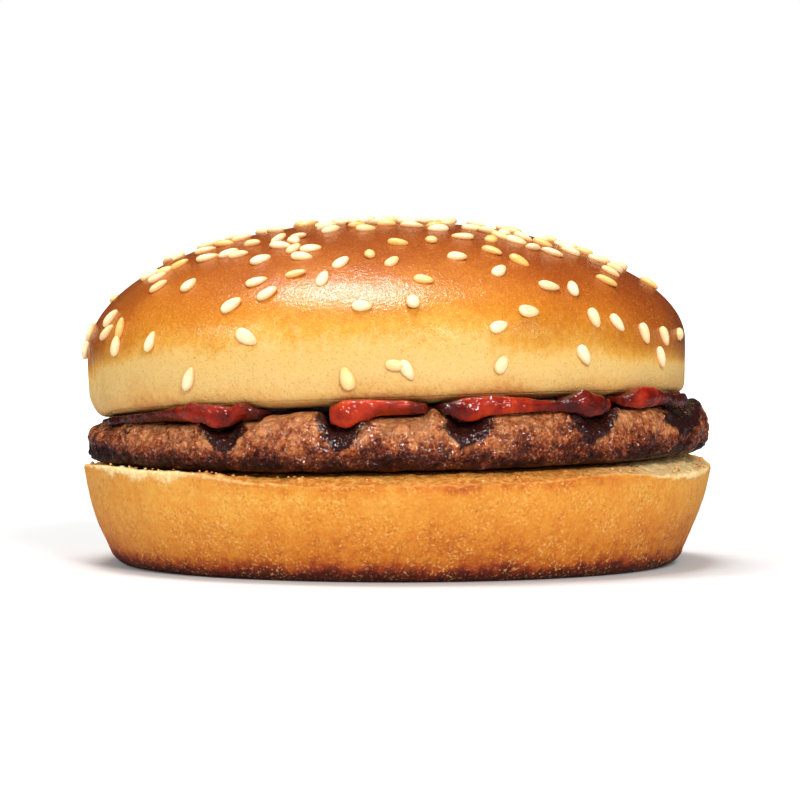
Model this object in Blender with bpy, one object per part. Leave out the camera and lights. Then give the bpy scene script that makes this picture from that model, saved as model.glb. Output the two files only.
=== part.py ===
"""A plain hamburger: a seeded bun crown, a layer of ketchup and a grilled beef patty on a bun heel.

It stands on the heel's flat base, whose middle is the origin. +Z is up and the front faces -Y.
Every size is in metres. The four pieces are turned round the middle of the stack, and each point
of a turned profile is then moved to the piece's uneven real form.
"""

import math
import random

import bmesh
import bpy
from mathutils import Matrix, Vector, noise

# Pieces that rest on each other stay this far apart.
GAP = 0.0003
MERGE_DISTANCE = 1e-7

# The heel: a cone that widens upwards, rounded at the foot and cut flat on top.
HEEL_BASE_RADIUS = 0.0438
HEEL_FOOT_ROUND = 0.0032
HEEL_RIM_RADIUS = 0.0512
HEEL_HEIGHT = 0.0172
HEEL_LEAN = 0.016
HEEL_WALL_BULGE = 0.0006
HEEL_RIM_ROUND = 0.0004
HEEL_CUT_EDGE = 0.0452
HEEL_RIM_FALL = 0.0007
# Where the rim is torn lower: angle from the front in degrees, half width in degrees, depth.
HEEL_TEARS = ((-42.0, 20.0, 0.0007), (74.0, 26.0, 0.0015), (165.0, 30.0, 0.0008))
HEEL_LUMP = 0.012
HEEL_LUMP_SHARE = 0.006
HEEL_STEPS = 60
HEEL_FOOT_STEPS = 4
HEEL_WALL_STEPS = 5

# Slow waves in an outline: how many go round, their phase and their share of the radius.
HEEL_WAVES = ((2, 0.4, 0.004), (5, 2.0, 0.003))
PATTY_WAVES = ((2, 1.1, 0.006), (3, 0.3, 0.005), (7, 2.6, 0.003))
CROWN_WAVES = ((2, 0.9, 0.005), (3, 2.2, 0.004))

# The patty: a disc with a rounded side, lying on the heel.
PATTY_RADIUS = 0.0504
PATTY_SIDE = 0.0056
PATTY_UPPER_POWER = 2.5
PATTY_LOWER_POWER = 4.0
PATTY_TOP = 0.0250
PATTY_EDGE_RISE = 0.0006
PATTY_EDGE_SINK = 0.0009
PATTY_EDGE_ZONE = (0.0405, 0.0465)
# Crags on the side as lump size and depth, lumps that stand up at the edge and dimples on top.
PATTY_CRAGS = ((0.0065, 0.00075), (0.0028, 0.0004))
PATTY_KNOBS = (0.009, 0.0007)
PATTY_DIMPLES = (0.005, 0.0003)
PATTY_STEPS = 96
PATTY_SIDE_STEPS = 8
GRILL_BARS = (-0.047, -0.0278, -0.0085, 0.0118, 0.0314, 0.0458)
GRILL_BAR_HALF_WIDTH = 0.0024
GRILL_BAR_DEPTH = 0.0015
GRILL_BAR_SIDE_DEPTH = 0.0012
GRILL_BAR_SWAY = 0.0008

# What lies on the patty leans: up to the right and up to the front.
LEAN_RIGHT = 0.036
LEAN_FRONT = 0.033

# The ketchup: a thin layer over the patty that swells into lobes at the rim.
KETCHUP_LAYER = 0.0005
KETCHUP_HIDDEN_RADIUS = 0.0440
KETCHUP_SWELL_ZONE = (0.0425, 0.0475)
KETCHUP_OVER_CRAGS = 0.0008
KETCHUP_FILL = 0.6
KETCHUP_STEPS = 120
# Round the front: angle from the front in degrees, outer radius, rise over the patty's level and hang
# under it.
KETCHUP_OUTLINE = (
    (-74.0, 0.0440, 0.0008, 0.0000),
    (-67.0, 0.0486, 0.0012, 0.0000),
    (-58.0, 0.0496, 0.0015, -0.0003),
    (-49.0, 0.0500, 0.0017, -0.0005),
    (-43.5, 0.0506, 0.0026, 0.0000),
    (-39.5, 0.0512, 0.0034, 0.0004),
    (-35.0, 0.0510, 0.0024, 0.0004),
    (-31.5, 0.0506, 0.0020, 0.0000),
    (-28.0, 0.0508, 0.0032, -0.0006),
    (-24.5, 0.0496, 0.0016, -0.0006),
    (-22.0, 0.0445, 0.0008, 0.0000),
    (-13.5, 0.0445, 0.0008, 0.0000),
    (-11.8, 0.0504, 0.0016, 0.0008),
    (-9.0, 0.0512, 0.0024, 0.0014),
    (-4.0, 0.0510, 0.0023, 0.0008),
    (1.0, 0.0504, 0.0022, -0.0003),
    (5.0, 0.0496, 0.0015, -0.0003),
    (7.0, 0.0450, 0.0008, 0.0000),
    (9.0, 0.0496, 0.0014, 0.0003),
    (13.0, 0.0506, 0.0021, 0.0006),
    (18.0, 0.0507, 0.0023, 0.0007),
    (23.0, 0.0505, 0.0018, 0.0006),
    (28.0, 0.0500, 0.0012, 0.0005),
    (31.5, 0.0496, 0.0010, 0.0006),
    (33.5, 0.0502, 0.0017, 0.0010),
    (36.5, 0.0509, 0.0026, 0.0013),
    (40.0, 0.0505, 0.0017, 0.0010),
    (43.0, 0.0494, 0.0010, 0.0004),
    (45.5, 0.0445, 0.0008, 0.0000),
    (48.0, 0.0494, 0.0014, 0.0003),
    (51.5, 0.0506, 0.0026, 0.0008),
    (55.0, 0.0504, 0.0027, 0.0006),
    (60.0, 0.0500, 0.0018, 0.0003),
    (66.0, 0.0494, 0.0012, 0.0002),
    (71.0, 0.0445, 0.0008, 0.0000),
)
BACK_LOBES = 7
BACK_LOBE_START = 100.0
BACK_LOBE_SPAN = 160.0
BACK_LOBE_SEED = 11
KETCHUP_RISEN = (0.0450, 0.0500)
KETCHUP_HANG_ZONE = (0.0478, 0.0496)
KETCHUP_THINNEST = 0.0003

# The crown: a dome over a short upright side that tucks under to a flat cut face.
CROWN_RADIUS = 0.0488
CROWN_SHIFT = -0.0016
CROWN_WAIST = 0.0090
CROWN_DOME = 0.0208
CROWN_TUCK = 11.0
CROWN_DROOP = 0.0014
# Where the crown's edge hangs lower on the left: angle, half width and depth.
CROWN_DROOP_LEFT = (-90.0, 20.0, 0.0012)
CROWN_SAG_RIGHT = 0.025
CROWN_LUMP = 0.022
CROWN_LUMP_HEIGHT = 0.0005
CROWN_STEPS = 60

# Sesame seeds: teardrops, half sunk in the crown, thickest on top and scarce down the side.
SEED_COUNT = 200
SEED_COUNT_SOLID = 142
SEED_RANDOM = 23
SEED_LENGTH = 0.0035
SEED_WIDTH = 0.0021
SEED_THICKNESS = 0.0011
SEED_LIFT = 0.0002
SEED_SPACING = 0.0026
SEED_LOWEST = -14.0
# Half of the front's width in degrees, where the listed seeds alone lie on skin that faces the front.
SHOWN_WIDTH = 72.0
FACING = 0.22
# The scarce seeds low on the front: angle from the front, latitude and heading in degrees.
SHOWN_SEEDS = (
    (-39, -18, 65), (-7, -22, 105), (-26, 6, -30), (-49, 6, 80), (-31, 20, 35), (-24, 25, 40),
    (-28, 31, 32), (-46, 30, 90), (-57, 30, 45), (-13, 32, 80), (-4, 19, 0), (6, 21, 80),
    (9, 31, -20), (22, 8, 15), (29, 14, -3), (44, 11, -80), (50, 9, -55), (40, -10, -65),
    (22, -15, 55), (2, -13, -8), (4, -17, -60), (58, 4, -75), (66, 2, -60), (64, -13, -70),
    (37, 26, -15), (43, 25, 60), (-61, 12, 85), (-61, 5, 85), (-69, 17, 55), (-67, 11, 40),
)

# Seeds of the upper front, as a front view from VIEW_DISTANCE shows them: steps across and down from
# the view's corner, and the turn from level in degrees.
VIEW_STEP = 0.000164
VIEW_MIDDLE = (397.0, 562.5)
VIEW_DISTANCE = 0.9
VIEW_HEIGHT = 0.066
TOP_SEEDS = (
    (326, 227, 12), (366, 230, 5), (279, 240, 90), (281, 247, 0), (294, 250, 80), (311, 250, 5),
    (302, 258, 0), (242, 240, 20), (253, 245, 0), (239, 256, 5), (261, 261, 30), (296, 275, 3),
    (341, 264, 30), (370, 255, 90), (392, 263, 30), (398, 244, -5), (206, 252, 25), (208, 259, 20),
    (180, 266, 25), (167, 272, 45), (158, 279, 50), (151, 276, 30), (412, 227, -8), (437, 227, 0),
    (431, 241, 60), (457, 258, -10), (473, 230, -15), (489, 233, -10), (492, 252, -35),
    (516, 242, -25), (519, 262, -30), (499, 272, 20), (552, 254, -25), (599, 261, -25),
    (610, 273, -30), (606, 282, -50),
)

MATERIALS = {
    "bun_heel": ((0.78, 0.46, 0.17), 0.65),
    "patty": ((0.26, 0.11, 0.06), 0.50),
    "ketchup": ((0.52, 0.03, 0.015), 0.15),
    "bun_crown": ((0.74, 0.37, 0.11), 0.40),
}


def smooth(low, high, value):
    """0 below low, 1 above high and an S curve between them."""
    share = min(1.0, max(0.0, (value - low) / (high - low)))
    return share * share * (3 - 2 * share)


def bump(offset, half_width):
    """A flat-topped bump, 1 in the middle and near 0 past twice its half width."""
    return math.exp(-((offset / half_width) ** 4))


def rough(x, y, z, size):
    """Even noise from about -1 to 1, whose lumps are about this size."""
    return noise.noise(Vector((x, y, z)) / size)


def wavy(angle, waves):
    """How much slow waves stretch an outline at a polar angle."""
    return 1 + sum(share * math.sin(count * angle + phase) for count, phase, share in waves)


def from_front(angle):
    """The angle from the front of the burger in degrees, positive to the right, of a polar angle."""
    return (math.degrees(angle) + 90 + 180) % 360 - 180


def lean(x, y):
    """How far the leaning level over the patty is above its middle."""
    return LEAN_RIGHT * x - LEAN_FRONT * y


def squarish(share, power):
    """Height of a rounded corner, from 1 where share is 0 to 0 where share is 1."""
    return max(0.0, 1 - abs(share) ** power) ** (1 / power)


def away(front, centre):
    """Degrees from one angle round to another, from -180 to 180."""
    return (front - centre + 180) % 360 - 180


def heel_level(x, y):
    """Height of the level that the heel's cut face keeps inside its rim."""
    return HEEL_HEIGHT + HEEL_LEAN * x + 0.00012 * rough(x, y, 0, 0.016)


def heel_top(x, y):
    """Height of the heel's cut face, which falls towards the rim and most where the rim is torn."""
    front = from_front(math.atan2(y, x))
    fall = HEEL_RIM_FALL + 0.0002 * math.sin(math.radians(3 * front) + 0.6)
    fall += sum(depth * bump(away(front, centre), half) for centre, half, depth in HEEL_TEARS)
    return heel_level(x, y) - fall * smooth(HEEL_CUT_EDGE, HEEL_RIM_RADIUS, math.hypot(x, y))


def heel_profile():
    """The heel's outline as (radius, height), from the middle of the base to the middle of the top."""
    points = [(0.0, 0.0)]
    lean_out = math.atan2(HEEL_RIM_RADIUS - HEEL_BASE_RADIUS - HEEL_FOOT_ROUND, HEEL_HEIGHT)
    arc = math.pi / 2 - lean_out
    for i in range(HEEL_FOOT_STEPS + 1):
        turn = arc * i / HEEL_FOOT_STEPS - math.pi / 2
        radius = HEEL_BASE_RADIUS + HEEL_FOOT_ROUND * math.cos(turn)
        points.append((radius, HEEL_FOOT_ROUND * (1 + math.sin(turn))))
    low_radius, low_height = points[-1]
    wall_top = HEEL_HEIGHT - HEEL_RIM_ROUND
    for i in range(1, HEEL_WALL_STEPS + 1):
        share = i / HEEL_WALL_STEPS
        radius = low_radius + (HEEL_RIM_RADIUS - low_radius) * share
        radius += HEEL_WALL_BULGE * math.sin(math.pi * share)
        points.append((radius, low_height + (wall_top - low_height) * share))
    points.append((HEEL_RIM_RADIUS - HEEL_RIM_ROUND, HEEL_HEIGHT))
    points += [(radius, HEEL_HEIGHT) for radius in (0.0485, HEEL_CUT_EDGE, 0.028, 0.0)]
    return points


def heel_form(angle, radius, height):
    """Moves a point of the turned heel to the baked one's uneven outline and its dipping rim."""
    outline = 1 + (wavy(angle, HEEL_WAVES) - 1) * smooth(0.0, HEEL_HEIGHT, height)
    x = radius * outline * math.cos(angle)
    y = radius * outline * math.sin(angle)
    z = height * heel_top(x, y) / HEEL_HEIGHT
    push = 1.0
    if radius > HEEL_CUT_EDGE:
        push += HEEL_LUMP_SHARE * rough(x, y, z, HEEL_LUMP) * smooth(0.0, HEEL_FOOT_ROUND, height)
    return Vector((x * push, y * push, z))


def back_outline():
    """Lobes of ketchup for the far side, in the form of KETCHUP_OUTLINE."""
    draw = random.Random(BACK_LOBE_SEED)
    hidden = (KETCHUP_HIDDEN_RADIUS + 0.0006, GAP + KETCHUP_LAYER, 0.0)
    points = []
    for i in range(BACK_LOBES):
        centre = BACK_LOBE_START + BACK_LOBE_SPAN * (i + 0.5) / BACK_LOBES + draw.uniform(-3, 3)
        half_width = draw.uniform(6.0, 10.5)
        lobe = (draw.uniform(0.0496, 0.0508), draw.uniform(0.0013, 0.0026), draw.uniform(0.0, 0.0009))
        points.append((centre - half_width, *hidden))
        points.append((centre, *lobe))
        points.append((centre + half_width, *hidden))
    return tuple(points)


KETCHUP_ROUND = KETCHUP_OUTLINE + back_outline()


def ketchup_reach(angle):
    """Outer radius of the ketchup and how far it rises over and hangs under the patty's level, at a
    polar angle."""
    turn = (from_front(angle) - KETCHUP_ROUND[0][0]) % 360 + KETCHUP_ROUND[0][0]
    ends = KETCHUP_ROUND + ((KETCHUP_ROUND[0][0] + 360, *KETCHUP_ROUND[0][1:]),)
    for before, after in zip(ends, ends[1:]):
        if turn <= after[0]:
            share = smooth(before[0], after[0], turn)
            return tuple(a + (b - a) * share for a, b in zip(before[1:], after[1:]))
    return ends[0][1:]


def lobe_weight(angle):
    """1 where ketchup comes out over the patty's edge and 0 where it lies hidden."""
    return smooth(*KETCHUP_RISEN, ketchup_reach(angle)[0])


def patty_edge(angle, radius):
    """How far the patty's top edge stands above its level: it sinks where ketchup lies on it."""
    return (PATTY_EDGE_RISE - PATTY_EDGE_SINK * lobe_weight(angle)) * smooth(*PATTY_EDGE_ZONE, radius)


def patty_section(angle, share_in, share_up):
    """A point of the patty: share_in is 0 at the middle and 1 at the flat part's edge, or above 1 as
    1 plus the way out through the rounded side; share_up is -1 underneath and 1 on top."""
    side = max(share_in - 1, 0)
    radius = (PATTY_RADIUS - PATTY_SIDE) * min(share_in, 1) + PATTY_SIDE * side
    radius *= wavy(angle, PATTY_WAVES)
    x = radius * math.cos(angle)
    y = radius * math.sin(angle)
    low = heel_level(x, y) + GAP
    high = PATTY_TOP + lean(x, y)
    middle = (low + high) / 2
    reach = high + patty_edge(angle, radius) - middle if share_up > 0 else middle - low
    z = middle + reach * share_up

    # Crags: free on the side, and only inwards where another piece lies on the patty.
    out = side * sum(depth * rough(x, y, z, size) for size, depth in PATTY_CRAGS)
    size, height = PATTY_KNOBS
    knob = height * smooth(-0.1, 0.5, rough(x, y, 0.5, size)) * side * (2 - side)
    size, depth = PATTY_DIMPLES
    dimple = depth * (0.5 + 0.5 * rough(x, y, 2, size)) * (1 - side)
    z += (knob - dimple) * max(share_up, 0)

    # Grill bars press grooves across the top, which end half way down the side.
    sway = GRILL_BAR_SWAY * math.sin(60 * x + 45 * y)
    groove = max(bump(x - bar - sway, GRILL_BAR_HALF_WIDTH) for bar in GRILL_BARS)
    groove *= smooth(-0.15, 0.75, share_up)
    z -= GRILL_BAR_DEPTH * groove * smooth(-0.1, 0.9, share_up)
    out -= GRILL_BAR_SIDE_DEPTH * groove * side
    return Vector((x + out * math.cos(angle), y + out * math.sin(angle), z))


def patty_profile():
    """The patty's outline as (share in, share up), from the middle underneath to the middle on top."""
    flat = [(0.0, -1.0), (0.5, -1.0), (0.85, -1.0)]
    side = []
    for i in range(PATTY_SIDE_STEPS + 1):
        turn = math.pi * (i / PATTY_SIDE_STEPS - 0.5)
        power = PATTY_UPPER_POWER if turn > 0 else PATTY_LOWER_POWER
        share_out = max(0.0, math.cos(turn)) ** (2 / power)
        share_up = math.copysign(abs(math.sin(turn)) ** (2 / power), turn)
        side.append((1 + share_out, share_up))
    return flat + side + [(share, 1.0) for share, _ in reversed(flat)]


def patty_upper(angle, radius):
    """Height of the patty's upper surface over its level, also on the rounded side."""
    flat = PATTY_RADIUS - PATTY_SIDE
    share_out = min(0.985, max(0.0, (radius - flat) / PATTY_SIDE))
    half = (PATTY_TOP - HEEL_HEIGHT) / 2
    share_up = squarish(share_out, PATTY_UPPER_POWER)
    return (half + patty_edge(angle, radius)) * share_up - half


def crown_droop(angle):
    """How far the crown's edge hangs down at a polar angle: most at the sides, and more on the left."""
    front = from_front(angle)
    centre, half_width, depth = CROWN_DROOP_LEFT
    left = depth * bump(away(front, centre), half_width)
    return CROWN_DROOP * abs(math.sin(math.radians(front))) ** 4 + left


def crown_underside(angle, radius):
    """Height of the crown's cut face and tucked edge above the cut face's middle."""
    share = min(0.999, radius / CROWN_RADIUS)
    droop = crown_droop(angle)
    return CROWN_WAIST * (1 - squarish(share, CROWN_TUCK)) - droop * share**16


def ketchup_point(angle, share_in, nose):
    """A point of the ketchup in the leaning level: share_in runs to 1 where the rounded nose begins
    and past it on the nose, which turns from 1 on top over 0 at the tip to -1 underneath."""
    reach, rise, hang = ketchup_reach(angle)
    nose_length = min(0.0016, 0.0005 + 0.5 * (rise - GAP - KETCHUP_LAYER))
    inner = reach - nose_length
    radius = inner * min(share_in, 1.0)
    if share_in > 1:
        radius += nose_length * math.cos(nose * math.pi / 2)
    x = radius * math.cos(angle)
    y = radius * math.sin(angle)
    swell = smooth(*KETCHUP_SWELL_ZONE, radius)
    level = GAP + KETCHUP_LAYER
    from_crown = math.hypot(x - CROWN_SHIFT, y)
    top = level + (rise - level) * swell
    if from_crown < CROWN_RADIUS + 3 * GAP:
        crown_angle = math.atan2(y, x - CROWN_SHIFT)
        under = crown_underside(crown_angle, from_crown)
        top = min(top, level + (KETCHUP_FILL * under if under > 0 else under))
    floor = patty_upper(angle, radius) + GAP + KETCHUP_OVER_CRAGS * swell
    floor += max(0.0, -hang - floor) * smooth(*KETCHUP_HANG_ZONE, radius)
    floor = min(floor, top - KETCHUP_THINNEST)
    closing = math.sin(nose * math.pi / 2)
    return Vector((x, y, (top + floor) / 2 + (top - floor) / 2 * closing))


def crown_radius(height):
    """Radius of the crown's skin at a height above its cut face."""
    if height >= CROWN_WAIST:
        return CROWN_RADIUS * math.sqrt(max(0.0, 1 - ((height - CROWN_WAIST) / CROWN_DOME) ** 2))
    return CROWN_RADIUS * squarish(1 - height / CROWN_WAIST, CROWN_TUCK)


def crown_profile():
    """The crown's outline as (radius, height), from the middle of the cut face up to the top."""
    points = []
    for share in (0.0, 0.5, 0.84, 0.93, 0.965, 0.988):
        points.append((CROWN_RADIUS * share, CROWN_WAIST * (1 - squarish(share, CROWN_TUCK))))
    points += [(crown_radius(height), height) for height in (0.0024, 0.0050)]
    for latitude in (0, 11, 22, 33, 44, 55, 66, 78, 90):
        turn = math.radians(latitude)
        points.append((CROWN_RADIUS * math.cos(turn), CROWN_WAIST + CROWN_DOME * math.sin(turn)))
    return points


def crown_form(angle, radius, height):
    """Moves a point of the turned crown to the baked one's uneven dome and drooping edge."""
    outline = 1 + (wavy(angle, CROWN_WAVES) - 1) * smooth(0.0, CROWN_WAIST, height)
    x = radius * outline * math.cos(angle)
    y = radius * outline * math.sin(angle)
    share = min(1.0, radius / CROWN_RADIUS)
    droop = crown_droop(angle) * share**16
    lift = CROWN_LUMP_HEIGHT * rough(x, y, height, CROWN_LUMP) * smooth(0.002, 0.014, height)
    lift -= CROWN_SAG_RIGHT * x * smooth(0.0, CROWN_WAIST + CROWN_DOME, height)
    return Vector((x, y, height + lift - droop * (1 - smooth(0.0, CROWN_WAIST, height))))


def crown_skin(angle, latitude):
    """A point of the crown's skin: latitude is 90 on top, 0 at the widest place and below 0 on the side."""
    turn = math.radians(max(0.0, latitude))
    height = CROWN_WAIST + CROWN_DOME * math.sin(turn)
    radius = CROWN_RADIUS * math.cos(turn)
    if latitude < 0:
        height = CROWN_WAIST * (1 + latitude / 45)
        radius = crown_radius(height)
    return crown_form(angle, radius, height)


def seed_density(latitude):
    """How thick the seeds lie at a latitude, as a share of what lies on top."""
    if latitude < 0:
        return 0.11
    return 0.17 + 0.83 * math.sin(math.radians(latitude)) ** 4


def seed_frame(angle, latitude, heading):
    """The matrix that lays a seed on the crown: X along it, Y across it and Z away from the skin."""
    step = 0.5
    spot = crown_skin(angle, latitude)
    east = crown_skin(angle + math.radians(step), latitude) - crown_skin(angle - math.radians(step), latitude)
    north = crown_skin(angle, min(89.9, latitude + step)) - crown_skin(angle, latitude - step)
    out = east.cross(north).normalized()
    along = (east.normalized() * math.cos(heading) + north.normalized() * math.sin(heading)).normalized()
    across = out.cross(along).normalized()
    along = across.cross(out)
    turn = Matrix((along, across, out)).transposed().to_4x4()
    return Matrix.Translation(spot + out * SEED_LIFT) @ turn


def seen(angle, latitude):
    """Where a front view shows a point of the crown's skin, in steps across and down."""
    place = crown_place() @ crown_skin(angle, latitude)
    scale = VIEW_DISTANCE / (VIEW_DISTANCE + place.y) / VIEW_STEP
    down = VIEW_MIDDLE[1] - VIEW_HEIGHT / VIEW_STEP - (place.z - VIEW_HEIGHT) * scale
    return VIEW_MIDDLE[0] + place.x * scale, down


def facing(angle, latitude):
    """How much the skin faces the front: 1 squarely, 0 on the skyline and below 0 on the far side."""
    return -(crown_place().to_3x3() @ seed_frame(angle, latitude, 0).to_3x3() @ Vector((0, 0, 1))).y


def placed(across, down, turn):
    """The (polar angle, latitude, heading) of a seed that the front view shows there."""
    front, latitude = 0.0, 30.0
    for _ in range(12):
        angle = math.radians(front - 90)
        here = seen(angle, latitude)
        aside = seen(angle + math.radians(1), latitude)
        above = seen(angle, latitude + 1)
        a, b = aside[0] - here[0], above[0] - here[0]
        c, d = aside[1] - here[1], above[1] - here[1]
        right, low = across - here[0], down - here[1]
        area = a * d - b * c
        front += max(-20.0, min(20.0, (right * d - low * b) / area))
        latitude = max(0.0, min(84.0, latitude + max(-9.0, min(9.0, (low * a - right * c) / area))))
    angle = math.radians(front - 90)
    slope = max(0.25, facing(angle, latitude))
    turn = math.radians(turn)
    return angle, latitude, math.atan2(math.sin(turn) / slope, math.cos(turn))


def seed_places():
    """Where seeds lie: (polar angle, latitude, heading, size), the shown ones first, then the largest."""
    draw = random.Random(SEED_RANDOM)
    shown = []
    for front, latitude, heading in SHOWN_SEEDS:
        shown.append((math.radians(front - 90), latitude, math.radians(heading), draw.uniform(0.95, 1.12)))
    for across, down, turn in TOP_SEEDS:
        shown.append((*placed(across, down, turn), draw.uniform(0.95, 1.12)))
    taken = [crown_skin(angle, latitude) for angle, latitude, _, _ in shown]
    others = []
    while len(shown) + len(others) < SEED_COUNT:
        angle = draw.uniform(-math.pi, math.pi)
        latitude = draw.uniform(SEED_LOWEST, 88)
        heading = draw.uniform(0, 2 * math.pi)
        size = draw.uniform(0.86, 1.10)
        chance = draw.random()
        turn = math.radians(max(0.0, latitude))
        area = math.cos(turn) * math.hypot(math.sin(turn), CROWN_DOME / CROWN_RADIUS * math.cos(turn))
        if chance > 2 * area * seed_density(latitude):
            continue
        if abs(from_front(angle)) < SHOWN_WIDTH and facing(angle, latitude) > FACING:
            continue
        place = crown_skin(angle, latitude)
        if any((place - other).length < SEED_SPACING for other in taken):
            continue
        taken.append(place)
        others.append((angle, latitude, heading, size))
    return shown + sorted(others, key=lambda seed: -seed[3])


def seed_mesh(bm, matrix, size):
    """A seed as a teardrop outline that stands on a narrower one and closes to a ridge."""
    outline = ((-0.5, 0.0), (-0.26, -0.46), (0.16, -0.38), (0.5, 0.0), (0.16, 0.38), (-0.26, 0.46))
    sunk = [bm.verts.new((0.9 * x, 0.9 * y, -0.8)) for x, y in outline]
    brim = [bm.verts.new((x, y, 0.12)) for x, y in outline]
    back = bm.verts.new((-0.2, 0, 0.62))
    fore = bm.verts.new((0.16, 0, 0.55))
    bm.faces.new(reversed(sunk))
    for i in range(len(outline)):
        j = (i + 1) % len(outline)
        bm.faces.new((sunk[i], sunk[j], brim[j], brim[i]))
    for i, j in ((0, 1), (5, 0)):
        bm.faces.new((brim[i], brim[j], back))
    for i, j in ((2, 3), (3, 4)):
        bm.faces.new((brim[i], brim[j], fore))
    bm.faces.new((brim[1], brim[2], fore, back))
    bm.faces.new((brim[4], brim[5], back, fore))
    shape = Matrix.Diagonal((SEED_LENGTH * size, SEED_WIDTH * size, SEED_THICKNESS, 1))
    bmesh.ops.transform(bm, matrix=matrix @ shape, verts=bm.verts)


def new_object(name, bm, collection=None):
    """A mesh object from a bmesh, with its normals pointing out."""
    bmesh.ops.recalc_face_normals(bm, faces=bm.faces)
    mesh = bpy.data.meshes.new(name)
    bm.to_mesh(mesh)
    bm.free()
    obj = bpy.data.objects.new(name, mesh)
    (collection or bpy.context.scene.collection).objects.link(obj)
    return obj


def turned(profile, steps):
    """A bmesh of the profile, as (radius, height) points from pole to pole, spun round Z."""
    bm = bmesh.new()
    verts = [bm.verts.new((radius, 0, height)) for radius, height in profile]
    edges = [bm.edges.new(pair) for pair in zip(verts, verts[1:])]
    bmesh.ops.spin(
        bm, geom=verts + edges, cent=(0, 0, 0), axis=(0, 0, 1), angle=2 * math.pi, steps=steps, use_merge=True
    )
    bmesh.ops.remove_doubles(bm, verts=bm.verts, dist=MERGE_DISTANCE)
    return bm


def formed(bm, form):
    """Moves each vertex of a turned bmesh by form(angle, radius, height)."""
    for vert in bm.verts:
        x, y, height = vert.co
        vert.co = form(math.atan2(y, x), math.hypot(x, y), height)
    return bm


def leaning(height):
    """The frame of what leans on the patty: its own level is flat at this height over the middle."""
    up = Vector((-LEAN_RIGHT, LEAN_FRONT, 1)).normalized()
    turn = Vector((0, 0, 1)).rotation_difference(up).to_matrix().to_4x4()
    return Matrix.Translation((0, 0, PATTY_TOP + height)) @ turn


def crown_place():
    """The frame of the crown, whose origin is the middle of its cut face."""
    return leaning(2 * GAP + KETCHUP_LAYER) @ Matrix.Translation((CROWN_SHIFT, 0, 0))


def finish(obj, name):
    """Smooth shading and the piece's own material."""
    colour, roughness = MATERIALS[name]
    material = bpy.data.materials.new(name)
    material.use_nodes = True
    shader = material.node_tree.nodes["Principled BSDF"]
    shader.inputs["Base Color"].default_value = (*colour, 1)
    shader.inputs["Roughness"].default_value = roughness
    obj.data.materials.clear()
    obj.data.materials.append(material)
    obj.data.shade_smooth()
    obj.data.set_sharp_from_angle(angle=math.radians(50))


def make_heel():
    """The bun's lower half."""
    bm = formed(turned(heel_profile(), HEEL_STEPS), heel_form)
    middle_of_base = min(bm.verts, key=lambda vert: vert.co.length)
    bmesh.ops.dissolve_verts(bm, verts=[middle_of_base])
    finish(new_object("bun_heel", bm), "bun_heel")


def make_patty():
    """The beef patty. Its turned profile stands on unit shares, which patty_section places."""
    finish(new_object("patty", formed(turned(patty_profile(), PATTY_STEPS), patty_section)), "patty")


def make_ketchup():
    """The ketchup. Its turned profile holds the share in and the turn of the nose for ketchup_point."""
    inner = (0.0, 0.9, 0.935, 0.965, 1.0)
    profile = [(share, 1.0) for share in inner]
    profile += [(2.0, 0.5), (2.0, 0.0), (2.0, -0.5)]
    profile += [(share, -1.0) for share in reversed(inner)]
    bm = formed(turned(profile, KETCHUP_STEPS), ketchup_point)
    obj = new_object("ketchup", bm)
    obj.matrix_world = leaning(0)
    finish(obj, "ketchup")


def make_crown():
    """The bun's upper half, with its seeds joined on."""
    crown = new_object("bun_crown", formed(turned(crown_profile(), CROWN_STEPS), crown_form))
    seeds = bpy.data.collections.new("seeds")
    bpy.context.scene.collection.children.link(seeds)
    for i, (angle, latitude, heading, size) in enumerate(seed_places()[:SEED_COUNT_SOLID]):
        bm = bmesh.new()
        seed_mesh(bm, seed_frame(angle, latitude, heading), size)
        new_object(f"seed_{i}", bm, seeds)
    union = crown.modifiers.new("seeds", "BOOLEAN")
    union.operation = "UNION"
    union.operand_type = "COLLECTION"
    union.collection = seeds
    union.solver = "EXACT"
    graph = bpy.context.evaluated_depsgraph_get()
    joined = bpy.data.meshes.new_from_object(crown.evaluated_get(graph))
    crown.modifiers.clear()
    crown.data = joined
    for obj in list(seeds.objects):
        bpy.data.objects.remove(obj)
    bpy.data.collections.remove(seeds)
    crown.matrix_world = crown_place()
    finish(crown, "bun_crown")


def main():
    for obj in list(bpy.data.objects):
        bpy.data.objects.remove(obj)
    make_heel()
    make_patty()
    make_ketchup()
    make_crown()


main()
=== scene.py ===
"""The looks of a plain hamburger, built round its solid model.

Every size is in metres. +Z is up and the front of the burger faces -Y. Each piece is a fine mesh with
the form of the solid that it stands for, and its own crags, folds and pores on top of that form.
"""
import math
import random

import bmesh
import bpy
from mathutils import Matrix, Vector, noise


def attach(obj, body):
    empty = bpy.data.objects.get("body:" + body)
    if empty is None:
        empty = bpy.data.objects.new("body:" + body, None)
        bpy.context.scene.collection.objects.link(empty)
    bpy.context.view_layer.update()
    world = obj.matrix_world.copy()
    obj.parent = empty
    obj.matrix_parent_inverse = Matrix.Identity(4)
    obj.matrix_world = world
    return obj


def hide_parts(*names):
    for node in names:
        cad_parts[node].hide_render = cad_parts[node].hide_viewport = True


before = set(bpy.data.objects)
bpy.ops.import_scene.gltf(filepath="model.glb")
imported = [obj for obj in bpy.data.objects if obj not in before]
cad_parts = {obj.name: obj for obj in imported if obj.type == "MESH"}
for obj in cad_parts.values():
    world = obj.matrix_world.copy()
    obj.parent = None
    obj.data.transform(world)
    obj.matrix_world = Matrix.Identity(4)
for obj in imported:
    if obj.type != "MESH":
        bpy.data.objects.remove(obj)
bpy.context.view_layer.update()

GAP = 0.0003
MERGE_DISTANCE = 1e-7

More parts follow.
